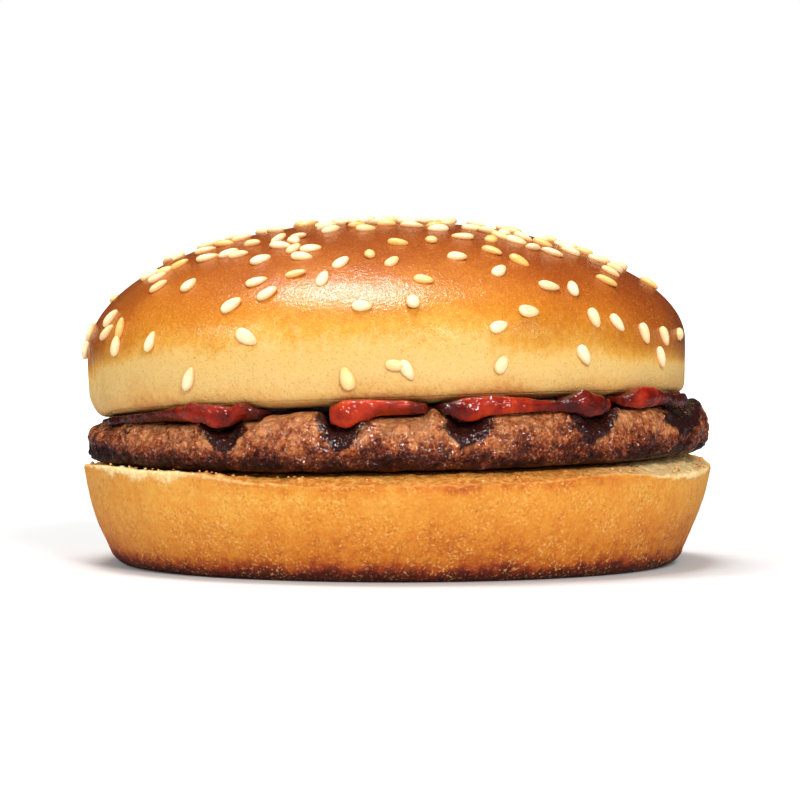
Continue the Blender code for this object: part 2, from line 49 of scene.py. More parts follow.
# The form of the solids, by their own values, but for three things: the ketchup lies closer on the
# patty here, its ends reach further round, and the patty's far left groove is shallower.
HEEL_BASE_RADIUS = 0.0438
HEEL_FOOT_ROUND = 0.0032
HEEL_RIM_RADIUS = 0.0512
HEEL_HEIGHT = 0.0172
HEEL_LEAN = 0.016
HEEL_WALL_BULGE = 0.0006
HEEL_RIM_ROUND = 0.0004
HEEL_CUT_EDGE = 0.0452
HEEL_RIM_FALL = 0.0007
HEEL_TEARS = ((-42.0, 20.0, 0.0007), (74.0, 26.0, 0.0015), (165.0, 30.0, 0.0008))
HEEL_LUMP = 0.012
HEEL_LUMP_SHARE = 0.006
HEEL_WAVES = ((2, 0.4, 0.004), (5, 2.0, 0.003))

PATTY_WAVES = ((2, 1.1, 0.006), (3, 0.3, 0.005), (7, 2.6, 0.003))
PATTY_RADIUS = 0.0504
PATTY_SIDE = 0.0056
PATTY_UPPER_POWER = 2.5
PATTY_LOWER_POWER = 4.0
PATTY_TOP = 0.0250
PATTY_EDGE_RISE = 0.0006
PATTY_EDGE_SINK = 0.0009
PATTY_EDGE_ZONE = (0.0405, 0.0465)
PATTY_CRAGS = ((0.0065, 0.00075), (0.0028, 0.0004))
PATTY_KNOBS = (0.009, 0.0007)
PATTY_DIMPLES = (0.005, 0.0003)
GRILL_BARS = (-0.047, -0.0278, -0.0085, 0.0118, 0.0314, 0.0458)
GRILL_BAR_HALF_WIDTH = 0.0024
GRILL_BAR_DEPTH = 0.0015
GRILL_BAR_SIDE_DEPTH = 0.0012
GRILL_BAR_SWAY = 0.0008
LEFT_MARK_ZONE = (0.042, 0.045)
LEFT_GROOVE_FADING = 0.7
LEFT_CHAR_FADING = 0.85

LEAN_RIGHT = 0.036
LEAN_FRONT = 0.033

KETCHUP_LAYER = 0.0005
KETCHUP_HIDDEN_RADIUS = 0.0440
KETCHUP_SWELL_ZONE = (0.0425, 0.0475)
KETCHUP_OVER_CRAGS = 0.0001
KETCHUP_FILL = 0.6
# Round the front: degrees from the front, outer radius, rise over and hang under the patty's level,
# and how dark it is painted, as painted shade, darkest where the sauce lies hidden under the crown.
KETCHUP_OUTLINE = (
    (-86, 0.044, 0.0008, 0, 1),
    (-79, 0.0488, 0.0013, 0.001, 0.9),
    (-71, 0.0492, 0.0014, 0.001, 0.9),
    (-65, 0.0488, 0.0011, 0.0008, 1),
    (-58, 0.0496, 0.0015, 0.0002, 0.95),
    (-49, 0.05, 0.0017, -0.0005, 0.8),
    (-43.5, 0.0506, 0.0026, 0, 0.5),
    (-39.5, 0.0512, 0.0034, 0.0004, 0.3),
    (-35, 0.051, 0.0024, 0.0008, 0.35),
    (-31.5, 0.0506, 0.002, 0.0006, 0.5),
    (-28.8, 0.0508, 0.0032, -0.0004, 0.35),
    (-26.6, 0.0494, 0.0018, -0.0006, 0.8),
    (-25, 0.0445, 0.0008, 0, 1),
    (-13.5, 0.0445, 0.0008, 0, 1),
    (-11.8, 0.0504, 0.0016, 0.0008, 0.35),
    (-9, 0.0512, 0.0024, 0.0014, 0),
    (-5.5, 0.051, 0.0024, 0.0009, 0.05),
    (-2.5, 0.0506, 0.0022, -0.0004, 0.15),
    (1, 0.0504, 0.0021, -0.0005, 0.25),
    (5, 0.0496, 0.0015, -0.0003, 0.5),
    (7, 0.045, 0.0008, 0, 1),
    (9, 0.0496, 0.0014, 0.0003, 0.9),
    (13, 0.0506, 0.0021, 0.001, 0.35),
    (18, 0.0507, 0.0023, 0.0008, 0.15),
    (23, 0.0505, 0.0018, 0.0006, 0.25),
    (28, 0.05, 0.0012, 0.0005, 0.5),
    (31.5, 0.0496, 0.001, 0.0006, 0.8),
    (33.5, 0.0502, 0.0017, 0.001, 0.8),
    (36.5, 0.0509, 0.0026, 0.0013, 0.6),
    (40, 0.0505, 0.0017, 0.001, 0.7),
    (43, 0.0494, 0.001, 0.0004, 0.5),
    (45.5, 0.0445, 0.0008, 0, 1),
    (48, 0.0494, 0.0014, 0.0003, 0.6),
    (51.5, 0.0506, 0.0026, 0.0008, 0.3),
    (55, 0.0504, 0.0027, 0.0006, 0.4),
    (60, 0.05, 0.0018, 0.0003, 0.7),
    (66, 0.0494, 0.0012, 0.0006, 0.9),
    (74, 0.049, 0.0012, 0.001, 1),
    (81, 0.0445, 0.0008, 0, 1),
)
BACK_LOBES = 7
BACK_LOBE_START = 100.0
BACK_LOBE_SPAN = 160.0
BACK_LOBE_SEED = 11
KETCHUP_RISEN = (0.0450, 0.0500)
KETCHUP_HANG_ZONE = (0.0478, 0.0496)
KETCHUP_THINNEST = 0.0003

CROWN_WAVES = ((2, 0.9, 0.005), (3, 2.2, 0.004))
CROWN_RADIUS = 0.0488
CROWN_SHIFT = -0.0016
CROWN_WAIST = 0.0090
CROWN_DOME = 0.0208
CROWN_TUCK = 11.0
CROWN_DROOP = 0.0014
CROWN_SAG_RIGHT = 0.025
CROWN_DROOP_LEFT = (-90.0, 20.0, 0.0012)
CROWN_LUMP = 0.022
CROWN_LUMP_HEIGHT = 0.0005

SEED_COUNT = 200
SEED_RANDOM = 23
SEED_LENGTH = 0.0035
SEED_WIDTH = 0.0021
SEED_THICKNESS = 0.0011
SEED_LIFT = 0.0002
SEED_SPACING = 0.0026
SEED_LOWEST = -14.0
SHOWN_WIDTH = 72.0
SHOWN_SEEDS = (
    (-39, -18, 65), (-7, -22, 105), (-26, 6, -30), (-49, 6, 80), (-31, 20, 35), (-24, 25, 40),
    (-28, 31, 32), (-46, 30, 90), (-57, 30, 45), (-13, 32, 80), (-4, 19, 0), (6, 21, 80),
    (9, 31, -20), (22, 8, 15), (29, 14, -3), (44, 11, -80), (50, 9, -55), (40, -10, -65),
    (22, -15, 55), (2, -13, -8), (4, -17, -60), (58, 4, -75), (66, 2, -60), (64, -13, -70),
    (37, 26, -15), (43, 25, 60), (-61, 12, 85), (-61, 5, 85), (-69, 17, 55), (-67, 11, 40),
)

# Seeds of the upper front, as a front view from VIEW_DISTANCE shows them: steps across and down from
# the view's corner, and the turn from level in degrees.
VIEW_STEP = 0.000164
VIEW_MIDDLE = (397.0, 562.5)
VIEW_DISTANCE = 0.9
VIEW_HEIGHT = 0.066
TOP_SEEDS = (
    (326, 227, 12), (366, 230, 5), (279, 240, 90), (281, 247, 0), (294, 250, 80), (311, 250, 5),
    (302, 258, 0), (242, 240, 20), (253, 245, 0), (239, 256, 5), (261, 261, 30), (296, 275, 3),
    (341, 264, 30), (370, 255, 90), (392, 263, 30), (398, 244, -5), (206, 252, 25), (208, 259, 20),
    (180, 266, 25), (167, 272, 45), (158, 279, 50), (151, 276, 30), (412, 227, -8), (437, 227, 0),
    (431, 241, 60), (457, 258, -10), (473, 230, -15), (489, 233, -10), (492, 252, -35),
    (516, 242, -25), (519, 262, -30), (499, 272, 20), (552, 254, -25), (599, 261, -25),
    (610, 273, -30), (606, 282, -50),
)
FACING = 0.22

# The fine surface that the solids leave out.
HEEL_STEPS = 640
PATTY_STEPS = 820
KETCHUP_STEPS = 600
CROWN_STEPS = 420
SEED_STEPS = 10
SEED_ROWS = 8
KETCHUP_LUMPS = ((0.0030, 0.00030), (0.0014, 0.00012))
KETCHUP_SAG = 0.0006
GRANULES = ((0.0019, 0.00018), (0.0010, 0.00014))
MINCE = ((0.0030, 0.00022), (0.0012, 0.00016))
CRUST_TEARS = (
    (-54.0, 15.0, 0.0019), (-29.0, 9.0, 0.0009), (68.0, 12.0, 0.0012), (150.0, 30.0, 0.0012),
)
CRUMB_PORES = ((0.0022, 0.00020), (0.0010, 0.00012))
RIM_TORN = 0.0007
RIM_RAISED = ((-50.0, 25.0, 0.0016), (-86.0, 14.0, 0.00064))
PALE_RIM = (-62.0, 28.0, 1.0)
PALE_CRUMB = (72.0, 28.0, 1.0)
PALE_CRUST = (-38.0, 26.0, 0.10)
BRIGHT_FOOT = (-50.0, 26.0, 0.12)
HEEL_SHEEN = (-18.0, 12.0, 1.0)
BLISTERS = ((0.0030, 0.00008), (0.0012, 0.00004))
CRUMB_COUNT = 130
CRUMB_SEED = 5
CRUMB_SIZES = (0.00025, 0.00055)
CROWN_PRESSED = (-92.0, 22.0, 0.0020)
CROWN_FOLDED = (-84.0, 14.0, 1.0)
CROWN_FOLD_DEPTH = 0.00060
CROWN_FOLDS_ROUND = 62
CROWN_FOLD_SLANT = 200
CROWN_DENTS = (0.007, 0.00010)
# Painted light: how much paler the crown's front is painted.
CROWN_PALE_FRONT = (0.0, 24.0, 0.05)
CROWN_WRINKLED = (-10.0, 16.0, 0.65)

# Light, as shares of full white.
SKY_LIGHT = 0.45
SKY_IN_GLOSS = 0.03
FLOOR_GREY = 0.58
FLOOR_IN_GLOSS = 0.15
FLOOR_GLOW = 0.06

# The soft lights, as (name, place, width, depth, watts).
LIGHTS = (
    ("overhead", (-0.09, 0.06, 0.80), 0.21, 0.38, 6.8),
    ("front", (0.28, -1.02, 0.60), 0.24, 0.20, 9.0),
    ("left", (-0.85, -0.45, 0.60), 0.14, 0.14, 3.0),
    ("right", (0.80, -0.60, 0.50), 0.14, 0.14, 0.9),
)

# How bright the crusts, the meat and the sauce are, as a share of their listed colours.
SHADE = 0.80

# The camera: level with the patty, a little above it, with a long lens.
CAMERA_DISTANCE = 0.9
CAMERA_HEIGHT = 0.066
CAMERA_AIM = (0.0005, 0.0, 0.0266)
CAMERA_LENS = 247


def smooth(low, high, value):
    """0 below low, 1 above high and an S curve between them."""
    share = min(1.0, max(0.0, (value - low) / (high - low)))
    return share * share * (3 - 2 * share)


def bump(offset, half_width):
    """A flat-topped bump, 1 in the middle and near 0 past twice its half width."""
    return math.exp(-((offset / half_width) ** 4))


def rough(x, y, z, size):
    """Even noise from about -1 to 1, whose lumps are about this size."""
    return noise.noise(Vector((x, y, z)) / size)


def wavy(angle, waves):
    """How much slow waves stretch an outline at a polar angle."""
    return 1 + sum(share * math.sin(count * angle + phase) for count, phase, share in waves)


def grainy(x, y, z, size):
    """Round grains of about this size: 1 on top of a grain and 0 or less in the seams between them."""
    distances, _ = noise.voronoi(Vector((x, y, z)) / size)
    return 1 - 2 * distances[0] ** 2 / max(1e-6, distances[1] ** 2)


def from_front(angle):
    """The angle from the front of the burger in degrees, positive to the right, of a polar angle."""
    return (math.degrees(angle) + 90 + 180) % 360 - 180


def away(front, centre):
    """Degrees from one angle round to another, from -180 to 180."""
    return (front - centre + 180) % 360 - 180


def around(front, *bumps):
    """What bumps round the burger add up to at an angle from the front: (centre, half width, height)."""
    return sum(height * bump(away(front, centre), half) for centre, half, height in bumps)


def outwards(angle):
    """The level direction away from the middle at a polar angle."""
    return Vector((math.cos(angle), math.sin(angle), 0))


def lean(x, y):
    """How far the leaning level over the patty is above its middle."""
    return LEAN_RIGHT * x - LEAN_FRONT * y


def squarish(share, power):
    """Height of a rounded corner, from 1 where share is 0 to 0 where share is 1."""
    return max(0.0, 1 - abs(share) ** power) ** (1 / power)


def spaced(low, high, count):
    """Evenly spaced numbers from low to high, with both ends."""
    return [low + (high - low) * i / (count - 1) for i in range(count)]


def turned(profile, steps):
    """A bmesh of the profile, as (radius, height) points from pole to pole, spun round Z."""
    bm = bmesh.new()
    verts = [bm.verts.new((radius, 0, height)) for radius, height in profile]
    edges = [bm.edges.new(pair) for pair in zip(verts, verts[1:])]
    around_z = {"cent": (0, 0, 0), "axis": (0, 0, 1), "angle": 2 * math.pi, "use_merge": True}
    bmesh.ops.spin(bm, geom=verts + edges, steps=steps, **around_z)
    bmesh.ops.remove_doubles(bm, verts=bm.verts, dist=MERGE_DISTANCE)
    bmesh.ops.recalc_face_normals(bm, faces=bm.faces)
    return bm


def formed(bm, form, *names):
    """Moves each vertex of a turned bmesh to the place that form(angle, radius, height) gives, and
    stores the values that follow it under these names."""
    layers = [bm.verts.layers.float.new(name) for name in names]
    for vert in bm.verts:
        x, y, height = vert.co
        place, *values = form(math.atan2(y, x), math.hypot(x, y), height)
        vert.co = place
        for layer, value in zip(layers, values):
            vert[layer] = value
    return bm


def new_piece(name, bm, material, node, transform=None):
    """A smooth piece from a bmesh, which stands for a node of the solid model."""
    if transform is not None:
        bmesh.ops.transform(bm, matrix=transform, verts=bm.verts)
    bmesh.ops.recalc_face_normals(bm, faces=bm.faces)
    mesh = bpy.data.meshes.new(name)
    bm.to_mesh(mesh)
    bm.free()
    mesh.shade_smooth()
    mesh.materials.append(material)
    piece = bpy.data.objects.new(name, mesh)
    bpy.context.scene.collection.objects.link(piece)
    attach(piece, "root")
    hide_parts(node)
    return piece


def leaning(height):
    """The frame of what leans on the patty: its own level is flat at this height over the middle."""
    up = Vector((-LEAN_RIGHT, LEAN_FRONT, 1)).normalized()
    turn = Vector((0, 0, 1)).rotation_difference(up).to_matrix().to_4x4()
    return Matrix.Translation((0, 0, PATTY_TOP + height)) @ turn


def crown_place():
    """The frame of the crown, whose origin is the middle of its cut face."""
    return leaning(2 * GAP + KETCHUP_LAYER) @ Matrix.Translation((CROWN_SHIFT, 0, 0))


# Materials

def tone(red, green, blue):
    """A colour given as it looks, from 0 to 255, in the numbers that a shader takes."""
    linear = []
    for part in (red, green, blue):
        part = part / 255
        linear.append(part / 12.92 if part <= 0.04045 else ((part + 0.055) / 1.055) ** 2.4)
    return (*linear, 1.0)


class Paint:
    """A material's nodes, made one at a time. An input is a value, a colour or another node's output."""

    def __init__(self, name):
        self.material = bpy.data.materials.new(name)
        self.material.use_nodes = True
        self.tree = self.material.node_tree
        self.shader = self.tree.nodes["Principled BSDF"]
        self.place = self.add("ShaderNodeTexCoord").outputs["Object"]

    def add(self, kind, inputs=None, **settings):
        made = self.tree.nodes.new(kind)
        for key, value in settings.items():
            setattr(made, key, value)
        for key, value in (inputs or {}).items():
            self.feed(made.inputs[key], value)
        return made

    def feed(self, socket, value):
        if isinstance(value, bpy.types.NodeSocket):
            self.tree.links.new(value, socket)
        else:
            socket.default_value = value

    def set(self, **inputs):
        """Sets the shader's inputs, with underscores for the spaces in their names."""
        for key, value in inputs.items():
            self.feed(self.shader.inputs[key.replace("_", " ")], value)

    def attribute(self, name):
        return self.add("ShaderNodeAttribute", attribute_name=name).outputs["Fac"]

    def noise(self, size, detail=2.0, place=None, roughness=0.5):
        """Noise from 0 to 1 whose lumps are about this size."""
        place = place or self.place
        inputs = {"Vector": place, "Scale": 1 / size, "Detail": detail, "Roughness": roughness}
        return self.add("ShaderNodeTexNoise", inputs).outputs["Fac"]

    def cells(self, size):
        """Distance from the middle of the nearest cell of this size, in cells."""
        inputs = {"Vector": self.place, "Scale": 1 / size}
        return self.add("ShaderNodeTexVoronoi", inputs).outputs["Distance"]

    def math(self, operation, first, second):
        return self.add("ShaderNodeMath", {0: first, 1: second}, operation=operation).outputs[0]

    def span(self, value, low, high, to_low=0.0, to_high=1.0):
        """Moves a value's range from low..high to to_low..to_high, smoothly and clamped."""
        inputs = {"Value": value, "From Min": low, "From Max": high, "To Min": to_low, "To Max": to_high}
        made = self.add("ShaderNodeMapRange", inputs, interpolation_type="SMOOTHSTEP")
        return made.outputs["Result"]

    def vary(self, value, pattern, low, high, reach):
        """The value, lowered by the reach where the pattern is low and raised where it is high."""
        return self.math("ADD", value, self.span(pattern, low, high, -reach, reach))

    def mix(self, share, first, second, blend="MIX"):
        made = self.add("ShaderNodeMix", data_type="RGBA", blend_type=blend)
        self.feed(made.inputs[0], share)
        self.feed(made.inputs[6], first)
        self.feed(made.inputs[7], second)
        return made.outputs[2]

    def shaded(self, colour):
        """A colour made as dark as SHADE says."""
        return self.mix(1.0, colour, (SHADE, SHADE, SHADE, 1), "MULTIPLY")

    def ramp(self, value, *stops):
        """A colour ramp from (position, red, green, blue) stops, with colours as they look."""
        made = self.add("ShaderNodeValToRGB", {"Fac": value})
        elements = made.color_ramp.elements
        while len(elements) < len(stops):
            elements.new(0.5)
        for element, (position, *colour) in zip(elements, stops):
            element.position = position
            element.color = tone(*colour)
        return made.outputs["Color"]

    def stretched(self, x, y, z):
        """The place with each axis stretched, for grain that runs along one way."""
        made = self.add("ShaderNodeMapping", {"Vector": self.place, "Scale": (x, y, z)})
        return made.outputs["Vector"]

    def relief(self, *layers, socket="Normal"):
        """Bumps from (height, metres) layers, one on the other, on the surface or on its coat."""
        normal = None
        for height, distance in layers:
            made = self.add("ShaderNodeBump", {"Height": height, "Strength": 1.0, "Distance": distance})
            if normal is not None:
                self.feed(made.inputs["Normal"], normal)
            normal = made.outputs["Normal"]
        self.feed(self.shader.inputs[socket], normal)


def crown_crust():
    """Egg-washed crust: cream low down, amber on the shoulder and brown on top, with a fine speckle, and
    painted shade that darkens it towards the sides.
    """
    paint = Paint("crown_crust")
    bake_and_shade = paint.attribute("bake_and_shade")
    cut = paint.attribute("cut")
    cloud = paint.noise(0.011, 3.0)
    grain = paint.noise(0.0011, 3.0, roughness=0.6)
    speckle = paint.noise(0.00034, 2.0)
    level = paint.vary(bake_and_shade, cloud, 0.3, 0.7, 0.04)
    level = paint.vary(level, grain, 0.3, 0.7, 0.03)
    colour = paint.ramp(
        level,
        (0.0, 222, 150, 82),
        (0.07, 238, 184, 106),
        (0.16, 245, 203, 126),
        (0.28, 250, 204, 118),
        (0.38, 240, 172, 66),
        (0.50, 216, 134, 34),
        (0.62, 198, 110, 24),
        (0.74, 178, 88, 16),
        (0.88, 158, 68, 12),
        (1.0, 148, 60, 10),
    )
    colour = paint.mix(paint.span(speckle, 0.55, 0.75, 0.0, 0.30), colour, tone(255, 206, 110))
    colour = paint.mix(paint.span(speckle, 0.45, 0.27, 0.0, 0.35), colour, tone(160, 84, 28))
    pores = paint.cells(0.0030)
    colour = paint.mix(paint.span(pores, 0.045, 0.028, 0.0, 0.5), colour, tone(140, 80, 36))
    streaks = paint.noise(0.0016, 2.0, place=paint.stretched(1.0, 1.0, 0.25))
    wrinkled = paint.attribute("wrinkle")
    colour = paint.mix(
        paint.math("MULTIPLY", wrinkled, paint.span(streaks, 0.50, 0.75, 0.0, 0.25)),
        colour,
        tone(255, 226, 168),
    )
    fluff = paint.span(paint.noise(0.0016, 3.0), 0.35, 0.65)
    crumb = paint.mix(fluff, tone(226, 170, 100), tone(248, 214, 150))
    colour = paint.shaded(paint.mix(cut, colour, crumb))
    paint.set(Base_Color=colour, Roughness=paint.span(speckle, 0.3, 0.7, 0.46, 0.36))
    paint.set(Coat_Weight=paint.span(bake_and_shade, 0.32, 0.48, 0.10, 0.66), Coat_Roughness=0.15)
    paint.set(Specular_IOR_Level=0.08)
    paint.set(Subsurface_Weight=0.10, Subsurface_Scale=0.0015, Subsurface_Radius=(1.0, 0.55, 0.25))
    egg_wash = paint.noise(0.0005, 2.0, roughness=0.6)
    paint.relief((paint.noise(0.0030, 2.0), 0.00012), (egg_wash, 0.00011), socket="Coat Normal")
    paint.relief(
        (paint.noise(0.0022, 3.0), 0.00008),
        (paint.noise(0.0006, 3.0, roughness=0.6), 0.00011),
        (speckle, 0.00013),
        (paint.math("MULTIPLY", wrinkled, streaks), 0.00015),
    )
    return paint.material


def heel_crust():
    """Matt crust with a bubbly grain, dark at the foot, partly as painted shade, and a cut face toasted
    and painted darker as the patty's shade, with pale torn crumb.
    """
    paint = Paint("heel_crust")
    bake_and_shade = paint.attribute("bake_and_shade")
    cut = paint.attribute("cut")
    toast_and_shade = paint.attribute("toast_and_shade")
    blotch = paint.noise(0.009, 3.0)
    mottle = paint.noise(0.0016, 4.0, roughness=0.65)
    grain = paint.noise(0.00045, 2.0)
    level = paint.vary(bake_and_shade, blotch, 0.3, 0.7, 0.05)
    level = paint.vary(level, mottle, 0.3, 0.7, 0.09)
    colour = paint.ramp(
        level,
        (0.0, 255, 200, 100),
        (0.18, 250, 180, 70),
        (0.36, 244, 160, 48),
        (0.56, 232, 138, 32),
        (0.70, 206, 104, 18),
        (0.82, 170, 66, 14),
        (0.92, 124, 34, 10),
        (1.0, 94, 22, 8),
    )
    patchy = paint.span(paint.noise(0.005, 2.0), 0.40, 0.62, 0.35, 1.0)
    pale_grain = paint.math("MULTIPLY", patchy, paint.span(grain, 0.54, 0.70, 0.0, 0.70))
    dark_grain = paint.math("MULTIPLY", patchy, paint.span(grain, 0.46, 0.30, 0.0, 0.45))
    colour = paint.mix(pale_grain, colour, tone(255, 208, 124))
    colour = paint.mix(dark_grain, colour, tone(160, 78, 24))
    pores = paint.cells(0.0021)
    colour = paint.mix(paint.span(pores, 0.055, 0.03, 0.0, 0.45), colour, tone(120, 62, 24))
    holes = paint.cells(0.0012)
    fluff = paint.noise(0.0009, 4.0, roughness=0.6)
    airy = paint.span(fluff, 0.35, 0.65)
    crumb = paint.mix(airy, tone(255, 196, 116), tone(255, 228, 170))
    # Toasted crumb, painted darker as the patty's shade on the cut face.
    toasted_and_shaded = paint.mix(airy, tone(214, 122, 36), tone(246, 176, 84))
    crumb = paint.mix(toast_and_shade, crumb, toasted_and_shaded)
    crumb = paint.mix(paint.span(holes, 0.22, 0.08, 0.0, 0.4), crumb, tone(200, 120, 50))
    colour = paint.mix(cut, paint.shaded(colour), crumb)
    shine = paint.attribute("shine")
    spots = paint.span(paint.noise(0.0006, 2.0), 0.45, 0.60)
    wet = paint.math("MULTIPLY", shine, spots)
    paint.set(Base_Color=colour, Roughness=paint.span(wet, 0.0, 1.0, 0.60, 0.25))
    paint.set(Specular_IOR_Level=0.35)
    paint.set(Subsurface_Weight=0.25, Subsurface_Scale=0.0025, Subsurface_Radius=(1.0, 0.6, 0.3))
    torn = paint.math("MULTIPLY", cut, fluff)
    paint.relief((paint.noise(0.0013, 3.0), 0.00014), (grain, 0.00016), (torn, 0.00040))
    return paint.material


def grilled_beef():
    """Minced beef: tan and moist above, dark and dry below, partly as painted shade, with painted glints
    and blackened marks of the grill bars.
    """
    paint = Paint("grilled_beef")
    sear_and_shade = paint.attribute("sear_and_shade")
    char = paint.attribute("char")
    seam_shade = paint.attribute("seam_shade")
    patches = paint.noise(0.0055, 3.0, roughness=0.55)
    mince = paint.noise(0.0013, 4.0, roughness=0.65)
    flecks = paint.noise(0.00042, 3.0, roughness=0.6)
    level = paint.vary(sear_and_shade, patches, 0.32, 0.68, 0.22)
    level = paint.vary(level, mince, 0.32, 0.68, 0.17)
    level = paint.vary(level, flecks, 0.35, 0.65, 0.16)
    colour = paint.ramp(
        level,
        (0.0, 228, 148, 90),
        (0.20, 202, 110, 56),
        (0.38, 164, 76, 34),
        (0.55, 118, 48, 22),
        (0.72, 78, 26, 14),
        (0.88, 48, 14, 10),
        (1.0, 30, 8, 8),
    )
    # Painted shade: the seams between grains are darkened.
    colour = paint.mix(paint.math("MULTIPLY", seam_shade, 0.40), colour, tone(84, 34, 20))
    # Painted glints: pale specks on the lighter meat that stand for small highlights.
    painted_glints = paint.span(paint.noise(0.00055, 2.0), 0.58, 0.70, 0.0, 0.48)
    painted_glints = paint.math("MULTIPLY", painted_glints, paint.span(level, 0.9, 0.3))
    colour = paint.mix(painted_glints, colour, tone(255, 206, 160))
    ragged = paint.vary(char, mince, 0.3, 0.7, 0.26)
    ragged = paint.vary(ragged, patches, 0.3, 0.7, 0.14)
    burnt = paint.span(ragged, 0.22, 0.62, 0.0, 0.97)
    ash = paint.mix(paint.span(flecks, 0.40, 0.62), tone(22, 2, 4), tone(66, 9, 10))
    colour = paint.mix(burnt, colour, ash)
    wetness = paint.span(paint.noise(0.0024, 2.0), 0.28, 0.46)
    dry = paint.span(level, 0.35, 1.0, 0.0, 0.75)
    wetness = paint.math("MULTIPLY", wetness, paint.math("SUBTRACT", 1.0, dry))
    burnt_wet = paint.math("MULTIPLY", burnt, 0.9)
    paint.set(Base_Color=paint.shaded(colour), Roughness=paint.span(mince, 0.3, 0.7, 0.75, 0.55))
    paint.set(Coat_Weight=paint.math("MAXIMUM", wetness, burnt_wet), Coat_Roughness=0.06)
    paint.set(Specular_IOR_Level=0.08)
    paint.relief((mince, 0.00040), (flecks, 0.00032))
    juice = ((paint.noise(0.0016, 1.0), 0.00080), (paint.noise(0.0006, 1.0), 0.00028))
    paint.relief(*juice, socket="Coat Normal")
    return paint.material


def wet_ketchup():
    """Thick red sauce: orange red where it is thick and lit, and dark as plums where shade is painted on
    it.
    """
    paint = Paint("wet_ketchup")
    sauce_shade = paint.attribute("sauce_shade")
    cloud = paint.noise(0.0028, 3.0)
    # Painted shade: the sauce is darker where its shade share is high.
    level = paint.vary(sauce_shade, cloud, 0.3, 0.7, 0.22)
    colour = paint.ramp(
        level,
        (0.0, 196, 50, 2),
        (0.3, 152, 26, 2),
        (0.6, 104, 14, 2),
        (1.0, 66, 12, 10),
    )
    colour = paint.shaded(colour)
    paint.set(Base_Color=colour, Roughness=0.50, Subsurface_Weight=0.10, Subsurface_Scale=0.0010)
    paint.set(Subsurface_Radius=(1.0, 0.25, 0.12), Specular_IOR_Level=0.10)
    paint.set(Coat_Weight=0.8, Coat_Roughness=0.05)
    paint.relief((cloud, 0.00030))
    gloss = ((paint.noise(0.0020, 1.0), 0.0009), (paint.noise(0.0009, 1.0), 0.0004))
    paint.relief(*gloss, socket="Coat Normal")
    return paint.material


def sesame():
    """Hulled sesame: cream, a little golden at the edge and the tip, and each seed its own tint."""
    paint = Paint("sesame")
    tint = paint.attribute("tint")
    tip = paint.attribute("tip")
    rim = paint.attribute("rim")
    colour = paint.ramp(
        tint,
        (0.0, 255, 232, 188),
        (0.6, 252, 222, 166),
        (0.85, 248, 206, 130),
        (1.0, 240, 178, 84),
    )
    colour = paint.mix(paint.span(tip, 0.55, 1.0, 0.0, 0.5), colour, tone(232, 168, 92))
    colour = paint.mix(paint.math("MULTIPLY", rim, 0.5), colour, tone(226, 156, 78))
    patches = paint.span(paint.noise(0.0008, 2.0), 0.4, 0.7, 0.0, 0.3)
    colour = paint.mix(patches, colour, tone(240, 194, 130))
    paint.set(Base_Color=colour, Roughness=0.36, Subsurface_Weight=0.10, Subsurface_Scale=0.0005)
    paint.set(Subsurface_Radius=(1.0, 0.7, 0.4))
    paint.relief((paint.noise(0.0005, 2.0), 0.00003))
    return paint.material


def bread_crumb():
    """Torn crumbs of bread."""
    paint = Paint("bread_crumb")
    tint = paint.attribute("tint")
    colour = paint.ramp(
        tint,
        (0.0, 252, 210, 136),
        (0.6, 240, 170, 84),
        (1.0, 222, 138, 56),
    )
    paint.set(Base_Color=colour, Roughness=0.75)
    paint.relief((paint.noise(0.0004, 2.0), 0.00010))
    return paint.material


# The bun heel

def heel_level(x, y):
    """Height of the level that the heel's cut face keeps inside its rim."""
    return HEEL_HEIGHT + HEEL_LEAN * x + 0.00012 * rough(x, y, 0, 0.016)


def heel_top(x, y):
    """Height of the heel's cut face, which falls towards the rim and most where the rim is torn."""
    front = from_front(math.atan2(y, x))
    fall = HEEL_RIM_FALL + 0.0002 * math.sin(math.radians(3 * front) + 0.6)
    fall += around(front, *HEEL_TEARS)
    return heel_level(x, y) - fall * smooth(HEEL_CUT_EDGE, HEEL_RIM_RADIUS, math.hypot(x, y))


def torn_rim(angle, radius):
    """How much lower the fine rim is torn along the front than the solid's, less what it rises on
    the left."""
    front = from_front(angle)
    along = smooth(-40, -24, front) * (1 - smooth(22, 48, front))
    torn = RIM_TORN * along * smooth(0.0486, 0.0508, radius)
    return torn - around(front, *RIM_RAISED) * smooth(0.0474, 0.0502, radius)


def heel_profile():
    """The heel's outline as (radius, height), from the middle of the base to the middle of the top."""
    points = [(radius, 0.0) for radius in (0.0, 0.015, 0.030, 0.040)]
    lean_out = math.atan2(HEEL_RIM_RADIUS - HEEL_BASE_RADIUS - HEEL_FOOT_ROUND, HEEL_HEIGHT)
    for turn in spaced(-math.pi / 2, -lean_out, 12):
        radius = HEEL_BASE_RADIUS + HEEL_FOOT_ROUND * math.cos(turn)
        points.append((radius, HEEL_FOOT_ROUND * (1 + math.sin(turn))))
    low_radius, low_height = points[-1]
    wall_top = HEEL_HEIGHT - HEEL_RIM_ROUND
    for share in spaced(0.0, 1.0, 34)[1:]:
        radius = low_radius + (HEEL_RIM_RADIUS - low_radius) * share
        radius += HEEL_WALL_BULGE * math.sin(math.pi * share)
        points.append((radius, low_height + (wall_top - low_height) * share))
    for turn in spaced(0.0, math.pi / 2, 4)[1:]:
        radius = HEEL_RIM_RADIUS - HEEL_RIM_ROUND * (1 - math.cos(turn))
        points.append((radius, wall_top + HEEL_RIM_ROUND * math.sin(turn)))
    points += [(radius, HEEL_HEIGHT) for radius in spaced(0.0505, 0.0435, 26)]
    points += [(radius, HEEL_HEIGHT) for radius in (0.040, 0.030, 0.015, 0.0)]
    return points


